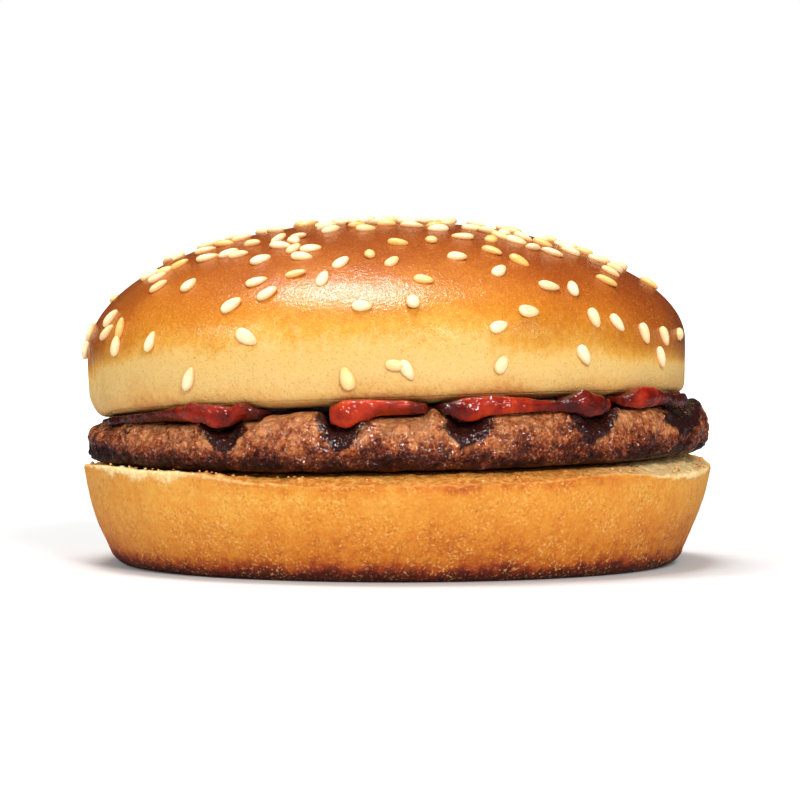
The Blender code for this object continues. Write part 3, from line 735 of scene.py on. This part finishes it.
def heel_form(angle, radius, height):
    """Moves a point of the turned heel to the baked one's outline, with bubbles and a torn rim."""
    outline = 1 + (wavy(angle, HEEL_WAVES) - 1) * smooth(0.0, HEEL_HEIGHT, height)
    x = radius * outline * math.cos(angle)
    y = radius * outline * math.sin(angle)
    z = height * heel_top(x, y) / HEEL_HEIGHT
    push = 1.0
    if radius > HEEL_CUT_EDGE:
        push += HEEL_LUMP_SHARE * rough(x, y, z, HEEL_LUMP) * smooth(0.0, HEEL_FOOT_ROUND, height)
    place = Vector((x * push, y * push, z))
    place.z -= torn_rim(angle, radius) * smooth(0.010, HEEL_HEIGHT, height)
    front = from_front(angle)

    # The crumb shows on the cut face and, where the crust is torn, a little way down the wall.
    torn = around(front, *CRUST_TEARS)
    torn *= 0.75 + 0.6 * rough(x, y, 0.2, 0.0035) + 0.3 * rough(x, y, 0.6, 0.0012)
    edge = HEEL_HEIGHT - 0.0001 - max(0.0, torn)
    cut = smooth(edge - 0.0002, edge + 0.0002, height)
    # The cut face is painted toasted and darker, as the patty's shade on it, but for pale torn crumb at
    # the left and right.
    inner = 0.0478 + 0.0022 * smooth(-66, -38, front)
    frayed = radius + 0.0006 * rough(x, y, 0.4, 0.003)
    pale = around(front, PALE_RIM) * smooth(inner, inner + 0.0008, frayed)
    toast_and_shade = max(0.0, 1 - pale - around(front, PALE_CRUMB))

    # The torn crumb is pitted, and the crust round it follows.
    open_face = smooth(0.0440, 0.0470, radius) * smooth(HEEL_HEIGHT - 0.0018, HEEL_HEIGHT, height)
    if open_face > 0:
        for size, depth in CRUMB_PORES:
            place.z -= depth * open_face * (0.5 - 0.5 * grainy(x, y, 0, size))
        place.z += 0.00016 * open_face * rough(x, y, 0.3, 0.0009)
        place.z += 0.00022 * open_face * rough(x, y, 0.9, 0.0021)
    wall = smooth(0.0, 0.002, height) * (1 - smooth(HEEL_HEIGHT - HEEL_RIM_ROUND, HEEL_HEIGHT, height))
    blister = sum(lift * rough(x, y, z, size) for size, lift in BLISTERS)
    place += outwards(angle) * blister * wall

    # Browning: dark at the foot, golden at the rim, with the left front baked lighter. The dark foot is
    # browner crust, and in its lowest few millimetres painted shade where the heel meets the floor. A
    # darker band at the top of the wall is painted shade under the patty's edge.
    ragged = 0.0007 * rough(x, y, 0.1, 0.006) + 0.0004 * rough(x, y, z, 0.002)
    bake_and_shade = 0.62 - 0.30 * smooth(0.003, 0.015, z)
    bake_and_shade += 0.42 * (1 - smooth(0.0004, 0.0042, z + ragged))
    bake_and_shade -= around(front, PALE_CRUST) * smooth(0.006, 0.014, z)
    bake_and_shade -= around(front, BRIGHT_FOOT) * smooth(0.0030, 0.0060, z) * (1 - smooth(0.008, 0.013, z))
    # Painted shade: a darker band at the top of the wall, under the patty's edge.
    bake_and_shade += 0.31 * toast_and_shade * smooth(0.0134, 0.0156, place.z + 1.8 * ragged)
    shine = around(front, HEEL_SHEEN) * smooth(0.007, 0.009, z) * (1 - smooth(0.0145, 0.0160, z))
    return place, bake_and_shade, cut, toast_and_shade, shine


def make_heel():
    """The bun's lower half."""
    bm = formed(turned(heel_profile(), HEEL_STEPS), heel_form, "bake_and_shade", "cut", "toast_and_shade", "shine")
    new_piece("heel", bm, heel_crust(), "bun_heel")


# The patty, whose edge sinks where ketchup comes out over it

def back_outline():
    """Lobes of ketchup for the far side, in the form of KETCHUP_OUTLINE."""
    draw = random.Random(BACK_LOBE_SEED)
    shades = random.Random(BACK_LOBE_SEED + 1)
    # Hidden stretches get full painted shade, and each lobe a random share of it.
    hidden = (KETCHUP_HIDDEN_RADIUS + 0.0006, GAP + KETCHUP_LAYER, 0.0, 1.0)
    points = []
    for i in range(BACK_LOBES):
        centre = BACK_LOBE_START + BACK_LOBE_SPAN * (i + 0.5) / BACK_LOBES + draw.uniform(-3, 3)
        half_width = draw.uniform(6.0, 10.5)
        lobe = (draw.uniform(0.0496, 0.0508), draw.uniform(0.0013, 0.0026), draw.uniform(0.0, 0.0009))
        points.append((centre - half_width, *hidden))
        points.append((centre, *lobe, shades.uniform(0.2, 0.6)))
        points.append((centre + half_width, *hidden))
    return tuple(points)


KETCHUP_ROUND = KETCHUP_OUTLINE + back_outline()


def ketchup_reach(angle):
    """Outer radius of the ketchup, how far it rises over and hangs under the patty's level and how
    dark its painted shade is, at a polar angle."""
    turn = (from_front(angle) - KETCHUP_ROUND[0][0]) % 360 + KETCHUP_ROUND[0][0]
    ends = KETCHUP_ROUND + ((KETCHUP_ROUND[0][0] + 360, *KETCHUP_ROUND[0][1:]),)
    for before, after in zip(ends, ends[1:]):
        if turn <= after[0]:
            share = smooth(before[0], after[0], turn)
            return tuple(a + (b - a) * share for a, b in zip(before[1:], after[1:]))
    return ends[0][1:]


def lobe_weight(angle):
    """1 where ketchup comes out over the patty's edge and 0 where it lies hidden."""
    return smooth(*KETCHUP_RISEN, ketchup_reach(angle)[0])


def patty_edge(angle, radius):
    """How far the patty's top edge stands above its level: it sinks where ketchup lies on it."""
    return (PATTY_EDGE_RISE - PATTY_EDGE_SINK * lobe_weight(angle)) * smooth(*PATTY_EDGE_ZONE, radius)


def patty_profile():
    """The patty's outline as (share in, share up), from the middle underneath to the middle on top."""
    flat = [(share, -1.0) for share in (0.0, 0.3, 0.6, 0.8, 0.9, 0.95)]
    side = []
    for turn in spaced(-math.pi / 2, math.pi / 2, 61):
        power = PATTY_UPPER_POWER if turn > 0 else PATTY_LOWER_POWER
        share_out = max(0.0, math.cos(turn)) ** (2 / power)
        share_up = math.copysign(abs(math.sin(turn)) ** (2 / power), turn)
        side.append((1 + share_out, share_up))
    return flat + side + [(share, 1.0) for share, _ in reversed(flat)]


def grill_mark(x, y, half_width, fading):
    """1 under the middle of a grill bar and 0 past its mark, with the mark at the left end faded."""
    sway = GRILL_BAR_SWAY * math.sin(60 * x + 45 * y)
    mark = max(bump(x - bar - sway, half_width) for bar in GRILL_BARS)
    return mark * (1 - fading * smooth(*LEFT_MARK_ZONE, -x))


def grill_groove(x, y):
    """How much of a grill bar's groove lies at a place of the patty."""
    return grill_mark(x, y, GRILL_BAR_HALF_WIDTH, LEFT_GROOVE_FADING)


def patty_form(angle, share_in, share_up):
    """A point of the patty: share_in is 0 at the middle and 1 at the flat part's edge, or above 1 as
    1 plus the way out through the rounded side; share_up is -1 underneath and 1 on top."""
    side = max(share_in - 1, 0)
    radius = (PATTY_RADIUS - PATTY_SIDE) * min(share_in, 1) + PATTY_SIDE * side
    radius *= wavy(angle, PATTY_WAVES)
    x = radius * math.cos(angle)
    y = radius * math.sin(angle)
    low = heel_level(x, y) + GAP
    high = PATTY_TOP + lean(x, y)
    middle = (low + high) / 2
    reach = high + patty_edge(angle, radius) - middle if share_up > 0 else middle - low
    z = middle + reach * share_up

    # Crags: free on the side, and only inwards where another piece lies on the patty.
    out = side * sum(depth * rough(x, y, z, size) for size, depth in PATTY_CRAGS)
    size, height = PATTY_KNOBS
    knob = height * smooth(-0.1, 0.5, rough(x, y, 0.5, size)) * side * (2 - side)
    size, depth = PATTY_DIMPLES
    dimple = depth * (0.5 + 0.5 * rough(x, y, 2, size)) * (1 - side)
    z += (knob - dimple) * max(share_up, 0)

    # Grill bars press grooves across the top, which end half way down the side.
    groove = grill_groove(x, y) * smooth(-0.15, 0.75, share_up)
    z -= GRILL_BAR_DEPTH * groove * smooth(-0.1, 0.9, share_up)
    out -= GRILL_BAR_SIDE_DEPTH * groove * side

    # Mince: round grains with seams between them.
    grains = [grainy(x, y, z, size) for size, _ in GRANULES]
    out += side * sum(depth * (grain - 0.4) for (_, depth), grain in zip(GRANULES, grains))
    out += side * sum(depth * rough(x, y, z, size) for size, depth in MINCE)
    place = Vector((x, y, z)) + outwards(angle) * out
    # How deep a seam lies between grains, for the painted shade in it.
    seam_shade = smooth(-0.15, 0.5, -grains[0])
    front = from_front(angle)
    # Painted shade: darker underneath, at both ends and low on the left, where the meat turns from the
    # lights, over its real searing.
    sear_and_shade = 0.30 - 0.34 * share_up + 0.26 * smooth(0.0, 0.8, -share_up)
    sear_and_shade += 0.14 * smooth(62, 80, front) + 0.20 * smooth(50, 74, -front)
    sear_and_shade += 0.26 * smooth(24, 52, -front) * smooth(-0.3, 0.4, -share_up)
    place.z += 0.0005 * rough(x, y, 7, 0.004) * side * smooth(0.6, 1.0, -share_up)
    reach = 0.0013 + 0.0026 * smooth(-0.35, 0.6, share_up)
    char = grill_mark(x, y, reach, LEFT_CHAR_FADING) * smooth(-0.45, -0.05, share_up)
    return place, sear_and_shade, char, seam_shade


def make_patty():
    """The beef patty."""
    bm = formed(turned(patty_profile(), PATTY_STEPS), patty_form, "sear_and_shade", "char", "seam_shade")
    new_piece("beef_patty", bm, grilled_beef(), "patty")


# The ketchup

def patty_upper(angle, radius):
    """Height of the patty's upper surface over its level, also on the rounded side."""
    flat = PATTY_RADIUS - PATTY_SIDE
    share_out = min(0.985, max(0.0, (radius - flat) / PATTY_SIDE))
    half = (PATTY_TOP - HEEL_HEIGHT) / 2
    share_up = squarish(share_out, PATTY_UPPER_POWER)
    return (half + patty_edge(angle, radius)) * share_up - half


def crown_droop(angle):
    """How far the crown's edge hangs down at a polar angle: most at the sides, and more on the left."""
    front = from_front(angle)
    return CROWN_DROOP * abs(math.sin(math.radians(front))) ** 4 + around(front, CROWN_DROOP_LEFT)


def crown_underside(angle, radius):
    """Height of the crown's cut face and tucked edge above the cut face's middle."""
    share = min(0.999, radius / CROWN_RADIUS)
    droop = crown_droop(angle)
    return CROWN_WAIST * (1 - squarish(share, CROWN_TUCK)) - droop * share**16


def ketchup_profile():
    """The ketchup's outline as (share in, turn of the nose), for ketchup_form."""
    inner = (0.0, 0.4, 0.7, 0.84, 0.88, 0.91, 0.94, 0.96, 0.98, 1.0)
    noses = spaced(1.0, -1.0, 25)[1:-1]
    profile = [(share, 1.0) for share in inner]
    profile += [(2.0, nose) for nose in noses]
    profile += [(share, -1.0) for share in reversed(inner)]
    return profile


def ketchup_form(angle, share_in, nose):
    """A point of the ketchup in the leaning level: share_in runs to 1 where the rounded nose begins
    and past it on the nose, which turns from 1 on top over 0 at the tip to -1 underneath."""
    reach, rise, hang, sauce_shade = ketchup_reach(angle)
    nose_length = min(0.0016, 0.0005 + 0.5 * (rise - GAP - KETCHUP_LAYER))
    inner = reach - nose_length
    radius = inner * min(share_in, 1.0)
    if share_in > 1:
        radius += nose_length * math.cos(nose * math.pi / 2)
    x = radius * math.cos(angle)
    y = radius * math.sin(angle)
    swell = smooth(*KETCHUP_SWELL_ZONE, radius)
    level = GAP + KETCHUP_LAYER
    from_crown = math.hypot(x - CROWN_SHIFT, y)
    top = level + (rise - level) * swell
    if from_crown < CROWN_RADIUS + 3 * GAP:
        crown_angle = math.atan2(y, x - CROWN_SHIFT)
        under = crown_underside(crown_angle, from_crown)
        top = min(top, level + (KETCHUP_FILL * under if under > 0 else under))
    floor = patty_upper(angle, radius) + GAP + KETCHUP_OVER_CRAGS * swell
    floor += max(0.0, -hang - floor) * smooth(*KETCHUP_HANG_ZONE, radius)
    floor -= KETCHUP_SAG * grill_groove(x, y) * swell * lobe_weight(angle)
    floor = min(floor, top - KETCHUP_THINNEST)
    closing = math.sin(nose * math.pi / 2)
    place = Vector((x, y, (top + floor) / 2 + (top - floor) / 2 * closing))
    if share_in > 1:
        lumps = sum(height * rough(place.x, place.y, place.z, size) for size, height in KETCHUP_LUMPS)
        place += outwards(angle) * lumps * math.cos(nose * math.pi / 2)
    return place, sauce_shade


def make_ketchup():
    """The ketchup."""
    bm = formed(turned(ketchup_profile(), KETCHUP_STEPS), ketchup_form, "sauce_shade")
    new_piece("ketchup_sauce", bm, wet_ketchup(), "ketchup", leaning(0))


# The bun crown

def crown_radius(height):
    """Radius of the crown's skin at a height above its cut face."""
    if height >= CROWN_WAIST:
        return CROWN_RADIUS * math.sqrt(max(0.0, 1 - ((height - CROWN_WAIST) / CROWN_DOME) ** 2))
    return CROWN_RADIUS * squarish(1 - height / CROWN_WAIST, CROWN_TUCK)


def crown_profile():
    """The crown's outline as (radius, height), from the middle of the cut face up to the top."""
    shares = [0.0, 0.3, 0.6, 0.8] + spaced(0.86, 0.988, 16)
    under = [CROWN_WAIST * (1 - squarish(share, CROWN_TUCK)) for share in shares]
    points = [(CROWN_RADIUS * share, height) for share, height in zip(shares, under)]
    points += [(crown_radius(height), height) for height in spaced(0.0012, CROWN_WAIST, 24)[:-1]]
    for latitude in spaced(0, 90, 64):
        turn = math.radians(latitude)
        points.append((CROWN_RADIUS * math.cos(turn), CROWN_WAIST + CROWN_DOME * math.sin(turn)))
    return points


def crown_form(angle, radius, height):
    """Moves a point of the turned crown to the baked one's uneven dome and drooping edge."""
    outline = 1 + (wavy(angle, CROWN_WAVES) - 1) * smooth(0.0, CROWN_WAIST, height)
    x = radius * outline * math.cos(angle)
    y = radius * outline * math.sin(angle)
    share = min(1.0, radius / CROWN_RADIUS)
    droop = crown_droop(angle) * share**16
    lift = CROWN_LUMP_HEIGHT * rough(x, y, height, CROWN_LUMP) * smooth(0.002, 0.014, height)
    lift -= CROWN_SAG_RIGHT * x * smooth(0.0, CROWN_WAIST + CROWN_DOME, height)
    return Vector((x, y, height + lift - droop * (1 - smooth(0.0, CROWN_WAIST, height))))


def crown_finish(angle, radius, height):
    """A point of the crown with its folds, how far it is baked, with painted shade towards its sides and
    painted light at its front, and where crumb and wrinkles show.
    """
    place = crown_form(angle, radius, height)
    x, y, _ = place
    front = from_front(angle)
    cut = 1 - smooth(0.0002, 0.0010, height)

    # The lower left corner is pressed in and folded, and shallow dents lie all over.
    pressed = around(front, CROWN_PRESSED) * smooth(0.030, 0.046, radius)
    pressed *= 1 - smooth(0.0, 0.0048, height)
    folds = around(front, CROWN_FOLDED) * smooth(0.0005, 0.003, height)
    folds *= 1 - smooth(0.006, 0.011, height)
    turn = math.radians(front) * CROWN_FOLDS_ROUND + CROWN_FOLD_SLANT * height
    fold = CROWN_FOLD_DEPTH * folds * (0.5 + 0.5 * math.sin(turn))
    size, depth = CROWN_DENTS
    dents = depth * rough(x, y, height, size) * smooth(0.001, 0.004, height)
    place += outwards(angle) * (dents - fold - pressed)

    # Browning by height. The terms by x darken the left and right sides as painted shade, where the crust
    # turns away from the front lights; the pale front is painted light.
    bake_and_shade = height / (CROWN_WAIST + CROWN_DOME)
    bake_and_shade += 0.04 * rough(x, y, height, 0.018)
    bake_and_shade += 0.26 * smooth(0.034, 0.050, -x) * smooth(0.006, 0.012, height)
    bake_and_shade += 0.16 * smooth(0.044, 0.050, abs(x)) * smooth(0.004, 0.008, height)
    bake_and_shade += 0.13 * smooth(0.010, 0.036, x) * smooth(0.003, 0.010, height)
    bake_and_shade += 0.04 * smooth(0.012, 0.034, -x) * smooth(0.006, 0.012, height)
    bake_and_shade -= around(front, CROWN_PALE_FRONT) * smooth(0.004, 0.010, height)
    bake_and_shade += 0.24 * smooth(0.028, 0.050, x) * smooth(0.003, 0.010, height)
    wrinkle = smooth(0.003, 0.006, height) * (1 - smooth(0.011, 0.015, height))
    wrinkle = max(wrinkle * (0.35 + around(front, CROWN_WRINKLED)), 2.2 * folds)
    return place, bake_and_shade, cut, wrinkle


def crown_skin(angle, latitude):
    """A point of the crown's skin: latitude is 90 on top, 0 where it is widest, less below that."""
    turn = math.radians(max(0.0, latitude))
    height = CROWN_WAIST + CROWN_DOME * math.sin(turn)
    radius = CROWN_RADIUS * math.cos(turn)
    if latitude < 0:
        height = CROWN_WAIST * (1 + latitude / 45)
        radius = crown_radius(height)
    return crown_form(angle, radius, height)


def make_crown():
    """The bun's upper half."""
    bm = formed(turned(crown_profile(), CROWN_STEPS), crown_finish, "bake_and_shade", "cut", "wrinkle")
    new_piece("crown", bm, crown_crust(), "bun_crown", crown_place())


# The sesame seeds

def seed_density(latitude):
    """How thick the seeds lie at a latitude, as a share of what lies on top."""
    if latitude < 0:
        return 0.11
    return 0.17 + 0.83 * math.sin(math.radians(latitude)) ** 4


def seen(angle, latitude):
    """Where a front view shows a point of the crown's skin, in steps across and down."""
    place = crown_place() @ crown_skin(angle, latitude)
    scale = VIEW_DISTANCE / (VIEW_DISTANCE + place.y) / VIEW_STEP
    down = VIEW_MIDDLE[1] - VIEW_HEIGHT / VIEW_STEP - (place.z - VIEW_HEIGHT) * scale
    return VIEW_MIDDLE[0] + place.x * scale, down


def facing(angle, latitude):
    """How much the skin faces the front: 1 squarely, 0 on the skyline and below 0 on the far side."""
    return -(crown_place().to_3x3() @ seed_frame(angle, latitude, 0).to_3x3() @ Vector((0, 0, 1))).y


def placed(across, down, turn):
    """The (polar angle, latitude, heading) of a seed that the front view shows there."""
    front, latitude = 0.0, 30.0
    for _ in range(12):
        angle = math.radians(front - 90)
        here = seen(angle, latitude)
        aside = seen(angle + math.radians(1), latitude)
        above = seen(angle, latitude + 1)
        a, b = aside[0] - here[0], above[0] - here[0]
        c, d = aside[1] - here[1], above[1] - here[1]
        right, low = across - here[0], down - here[1]
        area = a * d - b * c
        front += max(-20.0, min(20.0, (right * d - low * b) / area))
        latitude = max(0.0, min(84.0, latitude + max(-9.0, min(9.0, (low * a - right * c) / area))))
    angle = math.radians(front - 90)
    slope = max(0.25, facing(angle, latitude))
    turn = math.radians(turn)
    return angle, latitude, math.atan2(math.sin(turn) / slope, math.cos(turn))


def seed_places():
    """Where seeds lie: (polar angle, latitude, heading, size), the shown first, then the largest."""
    draw = random.Random(SEED_RANDOM)
    shown = []
    for front, latitude, heading in SHOWN_SEEDS:
        shown.append((math.radians(front - 90), latitude, math.radians(heading), draw.uniform(0.95, 1.12)))
    for across, down, turn in TOP_SEEDS:
        shown.append((*placed(across, down, turn), draw.uniform(0.95, 1.12)))
    taken = [crown_skin(angle, latitude) for angle, latitude, _, _ in shown]
    others = []
    while len(shown) + len(others) < SEED_COUNT:
        angle = draw.uniform(-math.pi, math.pi)
        latitude = draw.uniform(SEED_LOWEST, 88)
        heading = draw.uniform(0, 2 * math.pi)
        size = draw.uniform(0.86, 1.10)
        chance = draw.random()
        turn = math.radians(max(0.0, latitude))
        area = math.cos(turn) * math.hypot(math.sin(turn), CROWN_DOME / CROWN_RADIUS * math.cos(turn))
        if chance > 2 * area * seed_density(latitude):
            continue
        if abs(from_front(angle)) < SHOWN_WIDTH and facing(angle, latitude) > FACING:
            continue
        place = crown_skin(angle, latitude)
        if any((place - other).length < SEED_SPACING for other in taken):
            continue
        taken.append(place)
        others.append((angle, latitude, heading, size))
    return shown + sorted(others, key=lambda seed: -seed[3])


def seed_frame(angle, latitude, heading):
    """The matrix that lays a seed on the crown: X along it, Y across it and Z away from the skin."""
    step = 0.5
    spot = crown_skin(angle, latitude)
    ahead = crown_skin(angle + math.radians(step), latitude)
    behind = crown_skin(angle - math.radians(step), latitude)
    east = ahead - behind
    north = crown_skin(angle, min(89.9, latitude + step)) - crown_skin(angle, latitude - step)
    out = east.cross(north).normalized()
    along = (east.normalized() * math.cos(heading) + north.normalized() * math.sin(heading)).normalized()
    across = out.cross(along).normalized()
    along = across.cross(out)
    turn = Matrix((along, across, out)).transposed().to_4x4()
    return Matrix.Translation(spot + out * SEED_LIFT) @ turn


def seed_shape(plump):
    """A teardrop seed one unit long, wide and thick, blunt at -X and pointed at +X."""
    profile = []
    for share in spaced(0.0, 1.0, SEED_ROWS):
        turn = math.pi * share
        along = -0.5 * math.cos(turn)
        radius = 0.5 * math.sin(turn) ** 0.9 * (1 - plump * (along + 0.1))
        profile.append((max(0.0, radius), along))
    profile[0] = (0.0, -0.5)
    profile[-1] = (0.0, 0.5)
    bm = turned(profile, SEED_STEPS)
    bmesh.ops.transform(bm, matrix=Matrix.Rotation(math.pi / 2, 4, "Y"), verts=bm.verts)
    return bm


def make_seeds():
    """All the seeds, as one piece. Each lies half sunk and a little askew."""
    draw = random.Random(SEED_RANDOM + 1)
    all_seeds = bmesh.new()
    tint, tip, rim = (all_seeds.verts.layers.float.new(name) for name in ("tint", "tip", "rim"))
    for angle, latitude, heading, size in seed_places():
        shape = seed_shape(draw.uniform(0.25, 0.5))
        mesh = bpy.data.meshes.new("seed")
        tilt = Matrix.Rotation(draw.gauss(0, math.radians(6)), 4, "Y")
        roll = Matrix.Rotation(draw.gauss(0, math.radians(9)), 4, "X")
        length = SEED_LENGTH * size * draw.uniform(0.95, 1.06)
        width = SEED_WIDTH * size * draw.uniform(0.90, 1.12)
        thickness = SEED_THICKNESS * draw.uniform(1.15, 1.35)
        scale = Matrix.Diagonal((length, width, thickness, 1))
        bmesh.ops.transform(shape, matrix=scale, verts=shape.verts)
        place = crown_place() @ seed_frame(angle, latitude, heading) @ roll @ tilt
        along = [vert.co.x / (SEED_LENGTH * size) + 0.5 for vert in shape.verts]
        aside = [1 - smooth(0.05, 0.40, vert.co.z / SEED_THICKNESS) for vert in shape.verts]
        bmesh.ops.transform(shape, matrix=place, verts=shape.verts)
        shape.to_mesh(mesh)
        shape.free()
        first = len(all_seeds.verts)
        all_seeds.from_mesh(mesh)
        all_seeds.verts.ensure_lookup_table()
        bpy.data.meshes.remove(mesh)
        own = draw.random() ** 1.6
        for vert, share, low in zip(all_seeds.verts[first:], along, aside):
            vert[tint] = own
            vert[tip] = share
            vert[rim] = low
    new_piece("sesame_seeds", all_seeds, sesame(), "bun_crown")


def make_crumbs():
    """Loose crumbs of bread on the heel's rim, under the patty's edge."""
    draw = random.Random(CRUMB_SEED)
    crumbs = bmesh.new()
    tint = crumbs.verts.layers.float.new("tint")
    for _ in range(CRUMB_COUNT):
        angle = draw.uniform(-math.pi, math.pi)
        radius = draw.triangular(0.0480, 0.0508, 0.0500)
        size = draw.uniform(*CRUMB_SIZES)
        first = len(crumbs.verts)
        bmesh.ops.create_icosphere(crumbs, subdivisions=1, radius=size / 2)
        crumbs.verts.ensure_lookup_table()
        own = draw.random()
        x = radius * math.cos(angle)
        y = radius * math.sin(angle)
        spot = Vector((x, y, heel_top(x, y) - torn_rim(angle, radius)))
        stretch = Vector((draw.uniform(0.8, 1.6), draw.uniform(0.8, 1.6), draw.uniform(0.6, 1.0)))
        for vert in crumbs.verts[first:]:
            lump = 1 + 0.45 * noise.noise(vert.co * 2600 + spot * 900)
            vert.co = spot + vert.co * stretch * lump
            vert[tint] = own
    new_piece("crumbs", crumbs, bread_crumb(), "bun_heel")


# The studio

def aimed(obj, place, aim):
    """Puts a light or a camera at a place, looking at a point."""
    obj.location = place
    obj.rotation_euler = (Vector(aim) - Vector(place)).to_track_quat("-Z", "Y").to_euler()


def add_light(name, place, width, depth, power):
    """A soft rectangular light that looks at the burger."""
    data = bpy.data.lights.new(name, "AREA")
    data.shape = "RECTANGLE"
    data.size = width
    data.size_y = depth
    data.energy = power
    light = bpy.data.objects.new(name, data)
    bpy.context.scene.collection.objects.link(light)
    aimed(light, place, (0, 0, 0.03))


def make_studio():
    """A white floor, a white surround and soft lights."""
    bm = bmesh.new()
    bmesh.ops.create_grid(bm, x_segments=1, y_segments=1, size=3.0)
    mesh = bpy.data.meshes.new("floor")
    bm.to_mesh(mesh)
    bm.free()
    floor = bpy.data.objects.new("floor", mesh)
    bpy.context.scene.collection.objects.link(floor)
    paint = Paint("floor")
    path = paint.add("ShaderNodeLightPath")
    reach = paint.add("ShaderNodeVectorMath", {0: paint.place}, operation="LENGTH").outputs["Value"]
    fade = paint.span(reach, 0.08, 0.60, FLOOR_GLOW, 1.0)
    glow = paint.math("MULTIPLY", path.outputs["Is Camera Ray"], fade)
    bright = (FLOOR_GREY, FLOOR_GREY, FLOOR_GREY, 1)
    dim = (FLOOR_IN_GLOSS, FLOOR_IN_GLOSS, FLOOR_IN_GLOSS, 1)
    paint.set(Base_Color=paint.mix(path.outputs["Is Glossy Ray"], bright, dim), Roughness=0.9)
    paint.set(Emission_Color=(1, 1, 1, 1), Emission_Strength=glow)
    mesh.materials.append(paint.material)

    world = bpy.data.worlds.new("surround")
    world.use_nodes = True
    tree = world.node_tree
    background = tree.nodes["Background"]
    path = tree.nodes.new("ShaderNodeLightPath")
    gloss = tree.nodes.new("ShaderNodeMapRange")
    gloss.inputs["To Min"].default_value = SKY_LIGHT
    gloss.inputs["To Max"].default_value = SKY_IN_GLOSS
    tree.links.new(path.outputs["Is Glossy Ray"], gloss.inputs["Value"])
    strength = tree.nodes.new("ShaderNodeMath")
    strength.operation = "MAXIMUM"
    tree.links.new(path.outputs["Is Camera Ray"], strength.inputs[0])
    tree.links.new(gloss.outputs["Result"], strength.inputs[1])
    background.inputs["Color"].default_value = (1, 1, 1, 1)
    tree.links.new(strength.outputs[0], background.inputs["Strength"])
    bpy.context.scene.world = world

    for light in LIGHTS:
        add_light(*light)
    bpy.context.scene.view_settings.view_transform = "Standard"


def make_camera():
    """A long lens, a little above the burger's middle."""
    data = bpy.data.cameras.new("camera")
    data.sensor_width = 36
    data.lens = CAMERA_LENS
    data.clip_start = 0.01
    camera = bpy.data.objects.new("camera", data)
    bpy.context.scene.collection.objects.link(camera)
    aimed(camera, (CAMERA_AIM[0], -CAMERA_DISTANCE, CAMERA_HEIGHT), CAMERA_AIM)
    bpy.context.scene.camera = camera


make_camera()
make_studio()
make_heel()
make_patty()
make_ketchup()
make_crown()
make_seeds()
make_crumbs()
